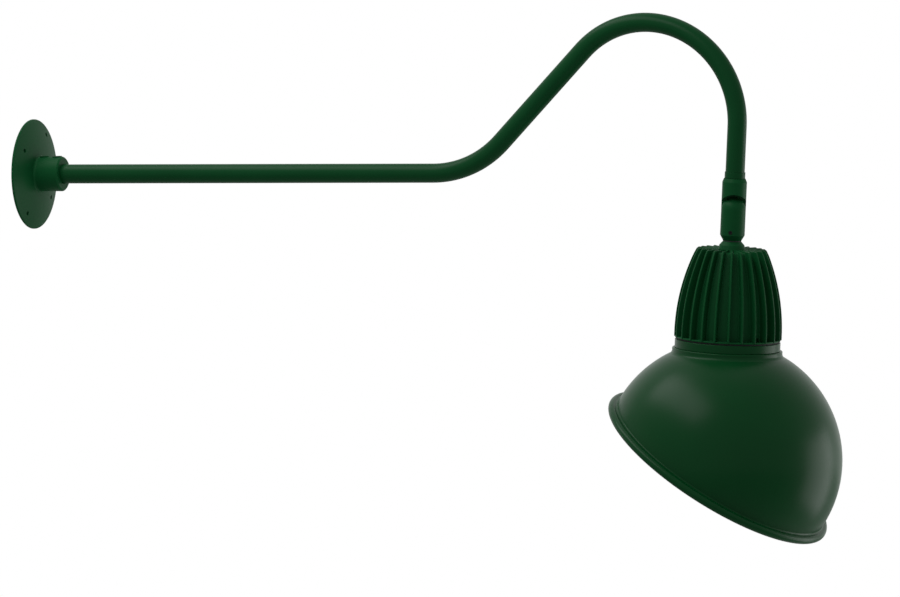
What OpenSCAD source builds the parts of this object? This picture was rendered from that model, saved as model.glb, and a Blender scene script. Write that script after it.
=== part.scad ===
// Gooseneck wall light: a cast wall plate, a bent tube arm, a two-way swivel, a finned
// lamp housing and a deep spun shade whose mouth is turned towards the wall.
// +X runs out of the wall along the arm, +Z is up. The origin is the centre of the wall
// plate's back face, on the axis of the arm's straight run.

/* [Wall plate] */
// Diameter of the round wall plate
plate_d = 122; // [112:1:140]
// Thickness of the plate's rim
rim_t = 2.5; // [2.2:0.1:4]
// Radius that rounds the rim's front edge
rim_round = 1.5; // [0.5:0.1:2]
// Rise of the plate's domed front from its rim to its middle
dome_rise = 7; // [5:0.5:12]
// Thickness of the plate's skin over the splice recess
plate_wall = 3.2; // [2.5:0.1:4]
// Radius of the splice recess in the plate's back
recess_r = 40; // [34:1:41]
// Diameter of the plate's mounting holes
screw_hole_d = 4.8; // [4:0.1:5.5]
// Circle of the wide pair of mounting holes
wide_pcd = 101.6; // [100:0.2:103]
// Angle of the wide pair, from the plate's side towards its top
wide_angle = 55; // [45:1:70]
// Circle of the narrow pair of mounting holes
narrow_pcd = 88.9; // [88:0.1:92]
// Angle of the narrow pair, from the plate's side towards its top
narrow_angle = 140; // [125:1:150]
// Width of the foam gasket ring in the plate's back
wall_gasket_w = 3.6; // [2:0.1:4]
// Thickness of the foam gasket ring
wall_gasket_t = 2; // [1:0.1:2]
// Width of the rim outside the gasket groove
gasket_margin = 2.5; // [2:0.1:3]

/* [Hub] */
// Diameter of the hub that holds the arm
hub_d = 38.5; // [34:0.5:44]
// Distance from the wall to the hub's front face
hub_reach = 37; // [32:1:50]
// Chamfer on the hub's front edge
hub_chamfer = 1.5; // [0.5:0.1:3]
// Fillet where the hub leaves the plate
hub_fillet = 3; // [1:0.5:5]
// Distance from the wall to the shoulder that the arm seats on
seat_x = 10; // [9:0.5:12]
// Diameter of the lead hole behind the shoulder
lead_hole_d = 16; // [13:0.5:17]
// Diameter of each hub set screw
hub_screw_d = 7.8; // [6:0.1:8]
// Distance from the wall to the first hub set screw
hub_screw_x = 14.2; // [14:0.2:15.2]
// Distance between the two hub set screws
hub_screw_pitch = 15.5; // [12:0.5:16]
// Depth of each set screw's top below the hub's surface
hub_screw_sink = 1.4; // [0.5:0.1:3]

/* [Arm] */
// Outer diameter of the arm tube
tube_d = 21.34; // [20:0.02:22]
// Wall of the arm tube
tube_wall = 2.1; // [1.8:0.1:2.8]
// Distance from the wall to the start of the lower bend
run_len = 484; // [300:1:600]
// Centre-line radius of the lower bend
lower_bend_r = 117; // [90:1:140]
// Angle at which the arm rises after the lower bend
rise_angle = 45; // [35:1:55]
// Straight length between the two bends
rise_len = 142.5; // [100:0.5:200]
// Centre-line radius of the crook over the lamp
crook_r = 106.4; // [95:0.2:125]
// Angle by which the arm's end leans back towards the wall from vertical
lean = 4.6; // [0:0.1:8]
// Length from the crook's end down to the tilt pivot
drop_len = 92.2; // [70:0.2:140]
// Radial running clearance of the tube in the hub and in the swivel
tube_fit = 0.06; // [0.03:0.01:0.1]

/* [Leads] */
// Diameter of each insulated lead
lead_d = 2.2; // [1.8:0.1:2.3]
// Distance between neighbouring leads in the arm
lead_pitch = 2.7; // [2.5:0.1:2.8]
// Offset of the row of leads from the tube's centre line
lead_side = 3; // [2.6:0.1:3.2]
// Length of the nylon bushing in the tube's wall end
bushing_len = 8; // [4:0.5:15]

/* [Swivel] */
// Turn of the swivel and its leads about the lamp's axis
swivel_turn = 23; // [0:1:30]
// Diameter of the swivel's two halves
knuckle_d = 27.2; // [26.6:0.1:30]
// Height of the upper half's top above the pivot
knuckle_top = 34.4; // [33:0.2:40]
// Height of the bevel on the upper half's top
knuckle_bevel = 4; // [2:0.5:4.5]
// Width of that bevel
knuckle_bevel_w = 1.7; // [1:0.1:1.9]
// Height of the tube's seat above the pivot
tube_seat_h = 20; // [19.6:0.1:21]
// Radius of the scoops that the two tongues turn in
scoop_r = 17.2; // [16.6:0.1:17.4]
// Gap between the two flat tongue faces
split_gap = 0.7; // [0.66:0.02:1]
// Radius of the lead cavity around the pivot
cavity_r = 8.8; // [8.6:0.1:9]
// Depth of the lead cavity in each tongue
cavity_depth = 8.8; // [8.7:0.1:9.1]
// Radius of the pivot boss in each tongue
boss_r = 4.2; // [3.8:0.1:4.4]
// Radius of the lead passage in each half
passage_r = 4.9; // [4.9:0.02:5]
// Diameter of the pivot screw
pivot_screw_d = 5; // [4:0.1:5.2]
// Diameter of the pivot screw's head
pivot_head_d = 9.2; // [8.4:0.1:9.6]
// Height of the pivot screw's head
pivot_head_h = 2.4; // [2:0.1:3]
// Depth in from the pivot of the floor that the screw's head seats on
pivot_floor = 11; // [10.6:0.1:11.4]
// Radial running clearance of the pivot screw
pivot_fit = 0.05; // [0.03:0.01:0.1]
// Thickness of the friction washer and the seal between the tongues
tongue_ring_t = 0.6; // [0.3:0.02:0.62]
// Depth of the lower half's straight side below the pivot
lower_side = 28.4; // [28:0.2:31]
// Depth of the lower half's bottom below the pivot
lower_bottom = 34.3; // [33:0.1:36]
// Diameter of the lower half's tapered bottom end
lower_end_d = 20.4; // [19.8:0.1:21]
// Thickness of the thin collar over the tube above the swivel
collar_t = 0.75; // [0.5:0.05:1.2]
// Height of that collar
collar_h = 6.7; // [4:0.1:12]
// Diameter of the set screws in the swivel
swivel_screw_d = 5; // [4:0.1:5.2]
// Width of the groove in the tube that holds the swivel on
groove_w = 3.2; // [3:0.1:3.4]
// Depth of that groove
groove_deep = 1.2; // [1:0.1:1.3]
// Outer diameter of the hollow threaded nipple
nipple_d = 18.4; // [17.6:0.1:18.6]
// Wall of the nipple
nipple_wall = 2; // [1.6:0.1:2.4]
// Depth of the nipple's upper end below the pivot
nipple_top = 20.2; // [19.8:0.1:21]
// Thickness of the gasket under the swivel
neck_gasket_t = 1; // [0.6:0.1:1.4]
// Angle of the lower set screw round the axis, from the front towards the outer side
neck_screw_angle = 12; // [0:1:30]

/* [Lamp housing] */
// Depth of the fins' top below the pivot
housing_top = 43.6; // [42:0.2:50]
// Height of the fins from their top to the bottom flange
fin_h = 98; // [80:1:130]
// Largest radius of the fins
fin_r = 59.3; // [57:0.1:62]
// Radius of the fins' rounded outline, seen from the side
fin_curve_r = 224; // [200:2:260]
// Depth of the outline's widest point above the bottom flange
fin_curve_up = 4; // [0:1:10]
// Radial depth of the fins
fin_depth = 9; // [7:0.2:10]
// Thickness of each fin
fin_t = 2.4; // [1.6:0.1:3.5]
// Number of fins
fin_count = 24; // [18:3:30]
// Height of the fins above the housing's roof
roof_drop = 2.4; // [1:0.1:4]
// Wall of the housing
housing_wall = 3.5; // [3:0.1:4.5]
// Radius of the central boss on the roof
roof_boss_r = 13.8; // [13:0.1:16]
// Thickness of the flange under the fins
flange_t = 1.8; // [1.4:0.1:3]
// Radius of the flange under the fins
flange_r = 58.4; // [57:0.1:60]
// Inner radius of the thick rim at the housing's open bottom
rim_inner_r = 42; // [41.6:0.1:43]
// Height of that thick rim
rim_inner_h = 15; // [12:0.5:20]
// Height of the drain pockets at the foot of the channels
drain_h = 4.4; // [2:0.2:6]
// Depth of the drain pockets
drain_deep = 2.2; // [1:0.1:2.6]

/* [Light engine] */
// Thickness of the plate that carries the light board
engine_t = 4; // [4:0.1:6]
// Radius of that plate
engine_r = 52; // [51:0.1:52.2]
// Radius of the four clamp screws' circle
clamp_r = 46.2; // [46:0.1:46.8]
// Diameter of the clamp screws
clamp_screw_d = 4; // [3.5:0.1:4.4]
// Thickness of the thermal pad
pad_t = 0.5; // [0.2:0.1:1]
// Thickness of the light board
board_t = 1.6; // [1:0.1:2]
// Radius of the light board
board_r = 38; // [36:0.2:38.6]
// Size of one light-emitting chip
chip_w = 3; // [2:0.1:3.5]
// Thickness of one light-emitting chip
chip_t = 0.7; // [0.4:0.1:1]
// Number of chips in the inner ring, with twice as many in the outer one
chip_count = 8; // [6:1:10]
// Circle of the board's screws
board_screw_r = 33; // [31:0.5:34]
// Width of the driver
driver_w = 60; // [50:1:62]
// Depth of the driver from front to back
driver_deep = 36; // [30:1:38]
// Height of the driver
driver_h = 62; // [50:1:66]
// Length of the driver's feet
foot_len = 9; // [8:0.5:9.5]
// Thickness of the driver's feet
foot_t = 2; // [1.5:0.1:3]
// Width of the driver's feet
foot_w = 9; // [8:0.5:11]

/* [Shade ring and lens] */
// Outer radius of the smooth ring under the fins
ring_r = 58.3; // [57.5:0.1:59]
// Inner radius of the ring's wall
ring_bore_r = 52.6; // [52.4:0.1:53]
// Height of the ring
ring_h = 9.4; // [9:0.1:14]
// Thickness of the ring's inner flange
ring_flange_t = 3; // [2:0.1:3.4]
// Thickness of the seal between the housing and the ring
ring_seal_t = 1.8; // [1:0.1:2.4]
// Radius of the lens frame
frame_r = 58.8; // [58.3:0.1:58.9]
// Height of the lens frame
frame_h = 9.5; // [9:0.1:12]
// Inner radius of the lens frame's lip
frame_lip_r = 43; // [42:0.1:44.5]
// Thickness of the lens frame's lip
frame_lip_t = 2.5; // [2:0.1:3]
// Radius of the glass lens
lens_r = 48; // [47:0.1:48.2]
// Thickness of the glass lens
lens_t = 4; // [3:0.1:4.2]
// Thickness of the lens gasket
lens_gasket_t = 1.8; // [1.2:0.1:2]
// Circle of the lens frame's screws
frame_screw_r = 55.4; // [55.2:0.1:55.6]
// Number of the lens frame's screws
frame_screw_count = 6; // [3:1:8]
// Thickness of the reflector's sheet
reflector_t = 0.8; // [0.6:0.1:1]
// Radius of the reflector's upper end
reflector_top_r = 39.5; // [39.2:0.1:40.2]
// Radius where the reflector turns out into its flange
reflector_low_r = 45.2; // [44:0.1:46]

/* [Shade] */
// Outer radius of the shade's dome
shade_r = 132.3; // [125:0.1:150]
// Thickness of the shade's sheet
shade_t = 1.5; // [1:0.1:2]
// Angle between the housing's axis and the shade's own axis
shade_angle = 31; // [15:1:35]
// Outer radius of the shade's neck
neck_r = 60.9; // [60.7:0.1:62]
// Height of the neck's straight side above the dome
neck_h = 6; // [5:0.1:12]
// Inner radius of the neck's inward flange
neck_flange_r = 50; // [49.2:0.1:51]
// Straight height from the dome's widest line to the centre of the rolled bead
skirt_h = 10.4; // [4:0.2:30]
// Outer radius of the rolled bead's section
bead_r = 4.8; // [3.5:0.1:7]
// Width of the slit where the bead's sheet edge ends
bead_slit = 1; // [0.4:0.1:1.5]

/* [Hidden] */
$fn = 96;
eps = 0.01;
lap = 0.5;
paint = [0.02, 0.2, 0.09];
steel = [0.6, 0.61, 0.63];
black = [0.08, 0.08, 0.08];
white = [0.93, 0.93, 0.9];
arc_steps = 20;
fit_gap = 0.05;
seat_gap = 0.3;
// Angle of the first clamp screw and of the first board screw
screw_turn = 45;

// Wall plate and hub
plate_r = plate_d / 2;
dome_edge_r = plate_r - rim_round;
dome_sphere_r = (dome_edge_r * dome_edge_r + dome_rise * dome_rise) / (2 * dome_rise);
hub_r = hub_d / 2;
tube_r = tube_d / 2;
tube_bore_r = tube_r - tube_wall;
tube_hole_r = tube_r + tube_fit;
groove_out_r = plate_r - gasket_margin;
groove_in_r = groove_out_r - wall_gasket_w - 2 * fit_gap;
hub_screw_boss_r = hub_screw_d / 2 + 1.6;
hub_screw_boss_h = 0.6;
tube_start_x = seat_x + seat_gap;

// Arm: corners of the centre line in the X-Z plane
rise_x = run_len + lower_bend_r * sin(rise_angle);
rise_z = lower_bend_r * (1 - cos(rise_angle));
crook_x = rise_x + rise_len * cos(rise_angle) + crook_r * sin(rise_angle);
crook_z = rise_z + rise_len * sin(rise_angle) - crook_r * cos(rise_angle);
crook_turn = rise_angle + 90 + lean;
pivot_x = crook_x + crook_r * cos(lean) - drop_len * sin(lean);
pivot_z = crook_z - crook_r * sin(lean) - drop_len * cos(lean);

// Leads
lead_r = lead_d / 2;
lead_wall_x = seat_x - 3;
lead_joint_h = tube_seat_h + 4;
lead_cross_r = (boss_r + cavity_r) / 2;
lead_front_y = 1 + lead_r - cavity_depth;

// Swivel
knuckle_r = knuckle_d / 2;
half_gap = split_gap / 2;
passage_y = half_gap + passage_r + 0.35;
tube_end_h = tube_seat_h + seat_gap;
collar_low = knuckle_top + seat_gap;
pivot_screw_r = pivot_screw_d / 2;
pivot_hole_r = pivot_screw_r + pivot_fit;
counterbore_r = pivot_head_d / 2 + 0.6;
spring_washer_t = 0.7;
pivot_tip = cavity_depth + 2.6;
groove_mid_h = tube_seat_h + 6;
o_ring_h = tube_seat_h + 2.4;
o_ring_r = 0.6;
washer_in_r = cavity_r + 0.2;
seal_out_r = knuckle_r - 0.4;
ring_split_r = (washer_in_r + seal_out_r) / 2;
swivel_screw_r = swivel_screw_d / 2;
nipple_r = nipple_d / 2;
nipple_bore_r = nipple_r - nipple_wall;
neck_screw_d = lower_side - 3.4;

// Lamp housing, by depth below the pivot
boss_top = lower_bottom + neck_gasket_t;
housing_flange = housing_top + fin_h;
housing_bottom = housing_flange + flange_t;
widest_depth = housing_flange - fin_curve_up;
roof_top = housing_top + roof_drop;
roof_low = roof_top + housing_wall + 0.5;
nut_h = 5;
nut_across = 27;
nipple_bottom = roof_low + nut_h + 2;
channel_r = fin_r - fin_depth;
engine_low = housing_bottom + engine_t;
ring_top = housing_bottom + ring_seal_t;
ring_bottom = ring_top + ring_h;
ring_flange_low = engine_low + fit_gap + ring_flange_t;
board_top = engine_low + pad_t;
board_low = board_top + board_t;
driver_top = housing_bottom - driver_h;
foot_x = driver_w / 2 + foot_len / 2;
dc_hole_r = 4;

// Shade and lens, by depth below the pivot
flange_low = ring_bottom + shade_t;
frame_low = flange_low + frame_h;
frame_floor = frame_low - frame_lip_t;
frame_bore_r = lens_r + 1;
lens_low = frame_floor - lens_gasket_t;
lens_top = lens_low - lens_t;
clamp_r_head = clamp_screw_d * 0.9;
frame_screw_shank_r = 1.45;
frame_screw_head_r = 2.8;
dome_meet = sqrt(shade_r * shade_r - neck_r * neck_r);
shade_drop = ring_bottom + neck_h + dome_meet;
bead_mid_r = shade_r - shade_t + bead_r - 0.7;

// Height of the plate's domed front over the wall at a radius
function dome_x(r) = rim_t + dome_rise - dome_sphere_r + sqrt(dome_sphere_r * dome_sphere_r - r * r);

// Place of a lead across the arm, in the arm's plane and to its side, turned with the swivel
function lead_u(i) = i * lead_pitch * cos(swivel_turn) - lead_side * sin(swivel_turn);
function lead_v(i) = i * lead_pitch * sin(swivel_turn) + lead_side * cos(swivel_turn);

// Radius of the fins' outline at a depth below the pivot
function fin_edge(d) = d > widest_depth
    ? fin_r
    : fin_r - fin_curve_r + sqrt(fin_curve_r * fin_curve_r - pow(widest_depth - d, 2));

// Depths evenly spaced from one depth to another
function depths(a, b) = [for (i = [0:arc_steps]) a + (b - a) * i / arc_steps];

// The housing's outline moved inwards, from one depth to another, as radius and height
function outline(inset, a, b) = [for (d = depths(a, b)) [fin_edge(d) - inset, -d]];

// Points of a circular arc in the plane
function arc(cx, cy, r, from, to, n) =
    [for (i = [0:n]) [cx + r * cos(from + (to - from) * i / n), cy + r * sin(from + (to - from) * i / n)]];

// Places children in the lamp's frame: the pivot at the origin, the lamp's axis along -Z
module at_pivot() {
    translate([pivot_x, 0, pivot_z]) rotate([0, lean, 0]) children();
}

// Places children in the shade's own frame: the dome's centre at the origin, its mouth to -Z
module at_dome() {
    at_pivot() translate([0, 0, -shade_drop]) rotate([0, shade_angle, 0]) children();
}

// Places children in the swivel's frame, turned so that the pivot's axis lies along Y
module at_swivel() {
    at_pivot() rotate([0, 0, swivel_turn]) children();
}

// A disc or washer about the lamp's axis, between two depths below the pivot
module disc(r, top, low, hole = 0) {
    difference() {
        translate([0, 0, -low]) cylinder(r = r, h = low - top);
        if (hole > 0) translate([0, 0, -low - 1]) cylinder(r = hole, h = low - top + 2);
    }
}

// A cylinder along the pivot's axis, from one Y to a further one
module pivot_rod(r, y0, y1) {
    translate([0, y0, 0]) rotate([-90, 0, 0]) cylinder(r = r, h = y1 - y0);
}

// A round bar along the arm's centre line, u above it in its plane and v to its side. The
// straight lengths run a little way into the bends, which are a hair thinner.
module arm_bar(r, start_x, end_h, u = 0, v = 0) {
    translate([start_x, v, u]) rotate([0, 90, 0]) cylinder(r = r, h = run_len - start_x + lap);
    translate([run_len, 0, lower_bend_r]) rotate([90, 0, 0]) rotate([0, 0, -90])
        rotate_extrude(angle = rise_angle) translate([lower_bend_r - u, -v]) circle(r = r - eps);
    translate([rise_x, 0, rise_z]) rotate([0, -rise_angle, 0]) translate([-lap, v, u])
        rotate([0, 90, 0]) cylinder(r = r, h = rise_len + 2 * lap);
    translate([crook_x, 0, crook_z]) rotate([90, 0, 0]) rotate([0, 0, -lean])
        rotate_extrude(angle = crook_turn) translate([crook_r + u, -v]) circle(r = r - eps);
    at_pivot() translate([u, v, end_h]) cylinder(r = r, h = drop_len - end_h + lap);
}

// A lead along a chain of points, with a ball at each inner corner
module lead_chain(points) {
    last = len(points) - 2;
    for (i = [0:last]) {
        run = points[i + 1] - points[i];
        turn = atan2(run[1], run[0]);
        fall = acos(run[2] / norm(run));
        before = i > 0 ? 0.1 : 0;
        after = i < last ? 0.3 : 0;
        translate(points[i]) rotate([0, fall, turn]) translate([0, 0, before])
            cylinder(r = lead_r, h = norm(run) - before - after);
    }
    for (i = [1:last]) translate(points[i]) sphere(r = lead_r * 1.08);
}

// A pan-head screw along -Z with its head's underside at the origin
module pan_screw(shank_r, shank_len, head_r, head_h, slot = 0.8) {
    translate([0, 0, -shank_len]) cylinder(r = shank_r, h = shank_len + eps);
    difference() {
        cylinder(r = head_r, h = head_h);
        translate([-head_r, -slot / 2, head_h * 0.5]) cube([2 * head_r, slot, head_h]);
        translate([-slot / 2, -head_r, head_h * 0.5]) cube([slot, 2 * head_r, head_h]);
    }
}

// A headless set screw along +Z with its outer end at the origin
module set_screw(r, length, key) {
    translate([0, 0, -length]) difference() {
        cylinder(r = r, h = length);
        translate([0, 0, length * 0.45]) cylinder(r = key / sqrt(3), h = length, $fn = 6);
    }
}

// Repeats children at equal angles about Z
module around(count, first = 0) {
    for (i = [0:count - 1]) rotate([0, 0, first + i * 360 / count]) children();
}

// Repeats children at the two hub set screws, on the hub's top
module at_hub_screws() {
    for (i = [0:1]) translate([hub_screw_x + i * hub_screw_pitch, 0, 0]) children();
}

// Repeats children at one pair of mounting holes
module at_hole_pair(pcd, angle) {
    for (side = [0, 180]) rotate([angle + side, 0, 0]) translate([0, pcd / 2, 0]) children();
}

// The plate, its dome and hub as one turned section
module plate_section() {
    fillet_x = dome_x(hub_r + hub_fillet) + hub_fillet;
    front = [for (i = [0:arc_steps]) let (r = hub_r + hub_fillet + (dome_edge_r - hub_r - hub_fillet)
        * i / arc_steps) [r, dome_x(r)]];
    back = [for (i = [0:arc_steps]) let (r = recess_r - (recess_r - lead_hole_d / 2) * i / arc_steps)
        [r, dome_x(r) - plate_wall]];
    polygon(concat(
        [[tube_hole_r, hub_reach], [hub_r - hub_chamfer, hub_reach], [hub_r, hub_reach - hub_chamfer]],
        arc(hub_r + hub_fillet, fillet_x, hub_fillet, 180, 265, 6),
        front,
        arc(dome_edge_r, rim_t - rim_round, rim_round, 80, 0, 5),
        [[plate_r, 0], [recess_r, 0]],
        back,
        [[lead_hole_d / 2, seat_x], [tube_hole_r, seat_x]]
    ));
}

// A mounting hole through the plate, along +X
module mounting_hole() {
    translate([-1, 0, 0]) rotate([0, 90, 0]) cylinder(r = screw_hole_d / 2, h = hub_reach);
}

module wall_plate() {
    color(paint) difference() {
        union() {
            rotate([0, 90, 0]) rotate_extrude() plate_section();
            at_hub_screws() translate([0, 0, tube_hole_r + 1])
                cylinder(r = hub_screw_boss_r, h = hub_r + hub_screw_boss_h - tube_hole_r - 1);
        }
        at_hub_screws() cylinder(r = hub_screw_d / 2 + fit_gap, h = hub_r + 5);
        at_hole_pair(wide_pcd, wide_angle) mounting_hole();
        at_hole_pair(narrow_pcd, narrow_angle) mounting_hole();
        translate([-eps, 0, 0]) rotate([0, 90, 0]) difference() {
            cylinder(r = groove_out_r, h = wall_gasket_t + eps);
            translate([0, 0, -1]) cylinder(r = groove_in_r, h = wall_gasket_t + 3);
        }
    }
}

module wall_gasket() {
    color(black) rotate([0, 90, 0]) difference() {
        cylinder(r = groove_out_r - fit_gap, h = wall_gasket_t);
        translate([0, 0, -1]) cylinder(r = groove_in_r + fit_gap, h = wall_gasket_t + 2);
    }
}

module hub_set_screws() {
    color(steel) at_hub_screws() translate([0, 0, hub_r - hub_screw_sink])
        set_screw(hub_screw_d / 2, hub_r - hub_screw_sink - tube_r - fit_gap, hub_screw_d / 2);
}

module arm_tube() {
    color(paint) difference() {
        arm_bar(tube_r, tube_start_x, tube_end_h);
        arm_bar(tube_bore_r, tube_start_x - 1, tube_end_h - 1);
        at_pivot() translate([0, 0, groove_mid_h - groove_w / 2]) difference() {
            cylinder(r = tube_r + 1, h = groove_w);
            translate([0, 0, -1]) cylinder(r = tube_r - groove_deep, h = groove_w + 2);
        }
    }
}

module arm_collar() {
    color(paint) at_pivot() translate([0, 0, collar_low]) difference() {
        cylinder(r = tube_r + collar_t, h = collar_h);
        translate([0, 0, -1]) cylinder(r = tube_r + fit_gap / 2, h = collar_h + 2);
    }
}

module lead_bushing() {
    color(white) difference() {
        translate([tube_start_x, 0, 0]) rotate([0, 90, 0])
            cylinder(r = tube_bore_r - fit_gap, h = bushing_len);
        for (i = [-1:1]) translate([0, lead_v(i), lead_u(i)]) rotate([0, 90, 0])
            cylinder(r = lead_r + fit_gap, h = run_len);
    }
}

module arm_lead(i) {
    arm_bar(lead_r, lead_wall_x, lead_joint_h, lead_u(i), lead_v(i));
}

module arm_lead_live() {
    color(black) arm_lead(-1);
}

module arm_lead_neutral() {
    color(white) arm_lead(0);
}

module arm_lead_ground() {
    color("green") arm_lead(1);
}

// The cavity, lead passage and pivot boss of the half whose tongue lies on +Y
module tongue_hollow(passage_len) {
    difference() {
        pivot_rod(cavity_r, half_gap - 1, cavity_depth);
        pivot_rod(boss_r, half_gap - 2, cavity_depth + 1);
    }
    difference() {
        translate([0, passage_y, 0]) cylinder(r = passage_r, h = passage_len);
        pivot_rod(boss_r, half_gap - 2, knuckle_r);
    }
}

// The scoop that clears the other half's round tongue, on the -Y side
module tongue_scoop() {
    intersection() {
        pivot_rod(scoop_r, -knuckle_d, knuckle_d);
        translate([-knuckle_d, -knuckle_d, -1]) cube([2 * knuckle_d, knuckle_d + half_gap, 2 * knuckle_d]);
    }
    translate([-knuckle_d, -knuckle_d, -knuckle_d]) cube([2 * knuckle_d, knuckle_d + half_gap, knuckle_d]);
}

module upper_knuckle() {
    color(paint) at_swivel() difference() {
        union() {
            cylinder(r = knuckle_r, h = knuckle_top - knuckle_bevel);
            translate([0, 0, knuckle_top - knuckle_bevel])
                cylinder(r1 = knuckle_r, r2 = knuckle_r - knuckle_bevel_w, h = knuckle_bevel);
            sphere(r = knuckle_r);
        }
        tongue_scoop();
        tongue_hollow(tube_seat_h + 1);
        translate([0, 0, tube_seat_h]) cylinder(r = tube_hole_r, h = knuckle_top);
        translate([0, 0, o_ring_h - o_ring_r - fit_gap])
            cylinder(r = tube_hole_r + 2 * o_ring_r + fit_gap, h = 2 * (o_ring_r + fit_gap));
        pivot_rod(pivot_hole_r, -1, knuckle_d);
        pivot_rod(counterbore_r, pivot_floor, knuckle_d);
        translate([0, 0, groove_mid_h]) pivot_rod(swivel_screw_r + fit_gap, 0, knuckle_d);
    }
}

module swivel_set_screw() {
    color(steel) at_swivel() translate([0, knuckle_r - 0.4, groove_mid_h]) rotate([-90, 0, 0]) {
        set_screw(swivel_screw_r, knuckle_r - 0.4 - tube_r - 0.1, swivel_screw_r);
        translate([0, 0, tube_r - knuckle_r + 0.4 - groove_deep + 0.15])
            cylinder(r = groove_w / 2 - 0.2, h = groove_deep);
    }
}

module swivel_o_ring() {
    color(black) at_pivot() translate([0, 0, o_ring_h]) rotate_extrude()
        translate([tube_hole_r + o_ring_r + fit_gap / 2, 0]) circle(r = o_ring_r);
}

module lower_knuckle() {
    color(paint) at_swivel() difference() {
        union() {
            translate([0, 0, -lower_side]) cylinder(r = knuckle_r, h = lower_side);
            translate([0, 0, -lower_bottom])
                cylinder(r1 = lower_end_d / 2, r2 = knuckle_r, h = lower_bottom - lower_side);
            sphere(r = knuckle_r);
        }
        rotate([180, 0, 0]) tongue_scoop();
        rotate([180, 0, 0]) tongue_hollow(nipple_top);
        translate([0, 0, -lower_bottom - 1])
            cylinder(r = nipple_r + fit_gap, h = lower_bottom + 1 - nipple_top + seat_gap);
        pivot_rod(pivot_hole_r, -pivot_tip - 0.4, 1);
        rotate([0, 0, neck_screw_angle - 90 - swivel_turn]) translate([0, 0, -neck_screw_d]) rotate([0, 90, 0])
            cylinder(r = swivel_screw_r * 0.9 + fit_gap, h = knuckle_d);
    }
}

module pivot_screw() {
    color(steel) at_swivel() difference() {
        union() {
            pivot_rod(pivot_screw_r, -pivot_tip, pivot_floor + 1);
            pivot_rod(pivot_head_d / 2, pivot_floor + spring_washer_t + 2 * fit_gap,
                pivot_floor + spring_washer_t + 2 * fit_gap + pivot_head_h);
        }
        translate([0, pivot_floor + spring_washer_t + pivot_head_h * 0.4, 0]) rotate([-90, 0, 0])
            cylinder(r = pivot_screw_r * 0.7, h = pivot_head_h * 2, $fn = 6);
    }
}

module pivot_spring_washer() {
    color(steel) at_swivel() difference() {
        pivot_rod(pivot_head_d / 2 + 0.1, pivot_floor + fit_gap, pivot_floor + fit_gap + spring_washer_t);
        pivot_rod(pivot_hole_r + 0.1, 0, knuckle_d);
    }
}

// A flat ring between the two tongues, about the pivot
module tongue_ring(inner, outer) {
    difference() {
        pivot_rod(outer, -tongue_ring_t / 2, tongue_ring_t / 2);
        pivot_rod(inner, -tongue_ring_t, tongue_ring_t);
    }
}

module friction_washer() {
    color(steel) at_swivel() tongue_ring(washer_in_r, ring_split_r - 0.1);
}

module pivot_seal() {
    color(black) at_swivel() tongue_ring(ring_split_r + 0.1, seal_out_r);
}

// Two leads pass the pivot on its sides and the third goes over it and down in front
module knuckle_leads() {
    bend_h = cavity_r - 0.8;
    color(black) at_swivel() {
        for (i = [-1, 1]) lead_chain([
            [i * lead_pitch, lead_side, lead_joint_h],
            [i * lead_pitch, lead_side, tube_seat_h - 1.6],
            [i * lead_pitch, passage_y - 1, bend_h],
            [i * lead_cross_r, lead_side, 0],
            [i * lead_cross_r, -lead_side, 0],
            [i * lead_pitch, 1 - passage_y, -bend_h],
            [i * lead_pitch, -lead_side, 1.6 - nipple_top],
            [i * lead_pitch, -lead_side, -nipple_top - 4]
        ]);
        lead_chain([
            [0, lead_side, lead_joint_h],
            [0, lead_side, tube_seat_h - 1.6],
            [0, passage_y + 1, 12],
            [0, passage_y + 1, lead_cross_r + 0.2],
            [0, lead_front_y, lead_cross_r + 0.2],
            [-lead_cross_r * 0.75, lead_front_y, lead_cross_r * 0.75],
            [-lead_cross_r, lead_front_y, 0],
            [0, -passage_y - 1, -10],
            [0, -lead_side, 1.6 - nipple_top],
            [0, -lead_side, -nipple_top - 4]
        ]);
    }
}

module neck_set_screw() {
    color(steel) at_pivot() rotate([0, 0, neck_screw_angle - 90])
        translate([knuckle_r - 0.6, 0, -neck_screw_d]) rotate([0, 90, 0])
        set_screw(swivel_screw_r * 0.9, knuckle_r - 0.6 - nipple_r - fit_gap, swivel_screw_r * 0.8);
}

module neck_nipple() {
    color(steel) at_pivot() disc(nipple_r, nipple_top, nipple_bottom, nipple_bore_r);
}

module neck_gasket() {
    color(black) at_pivot()
        disc(lower_end_d / 2, lower_bottom, boss_top, nipple_r + fit_gap);
}

module neck_locknut() {
    color(steel) at_pivot() difference() {
        translate([0, 0, -roof_low - nut_h]) cylinder(r = nut_across / sqrt(3), h = nut_h, $fn = 6);
        translate([0, 0, -roof_low - nut_h - 1]) cylinder(r = nipple_r + fit_gap, h = nut_h + 2);
    }
}

// Half section of one fin, from the roof down to the bottom flange
module fin_section() {
    root = fin_depth + housing_wall / 2;
    polygon(concat(
        [[roof_boss_r + 1, -roof_top - housing_wall / 2], [roof_boss_r + 1, -housing_top]],
        [[fin_edge(housing_top) - 1.2, -housing_top]],
        outline(0, housing_top + 1.2, housing_flange + flange_t / 2),
        [[fin_r - root, -housing_flange - flange_t / 2]],
        [for (d = depths(housing_flange, roof_top + housing_wall / 2)) [fin_edge(d) - root, -d]]
    ));
}

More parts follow.
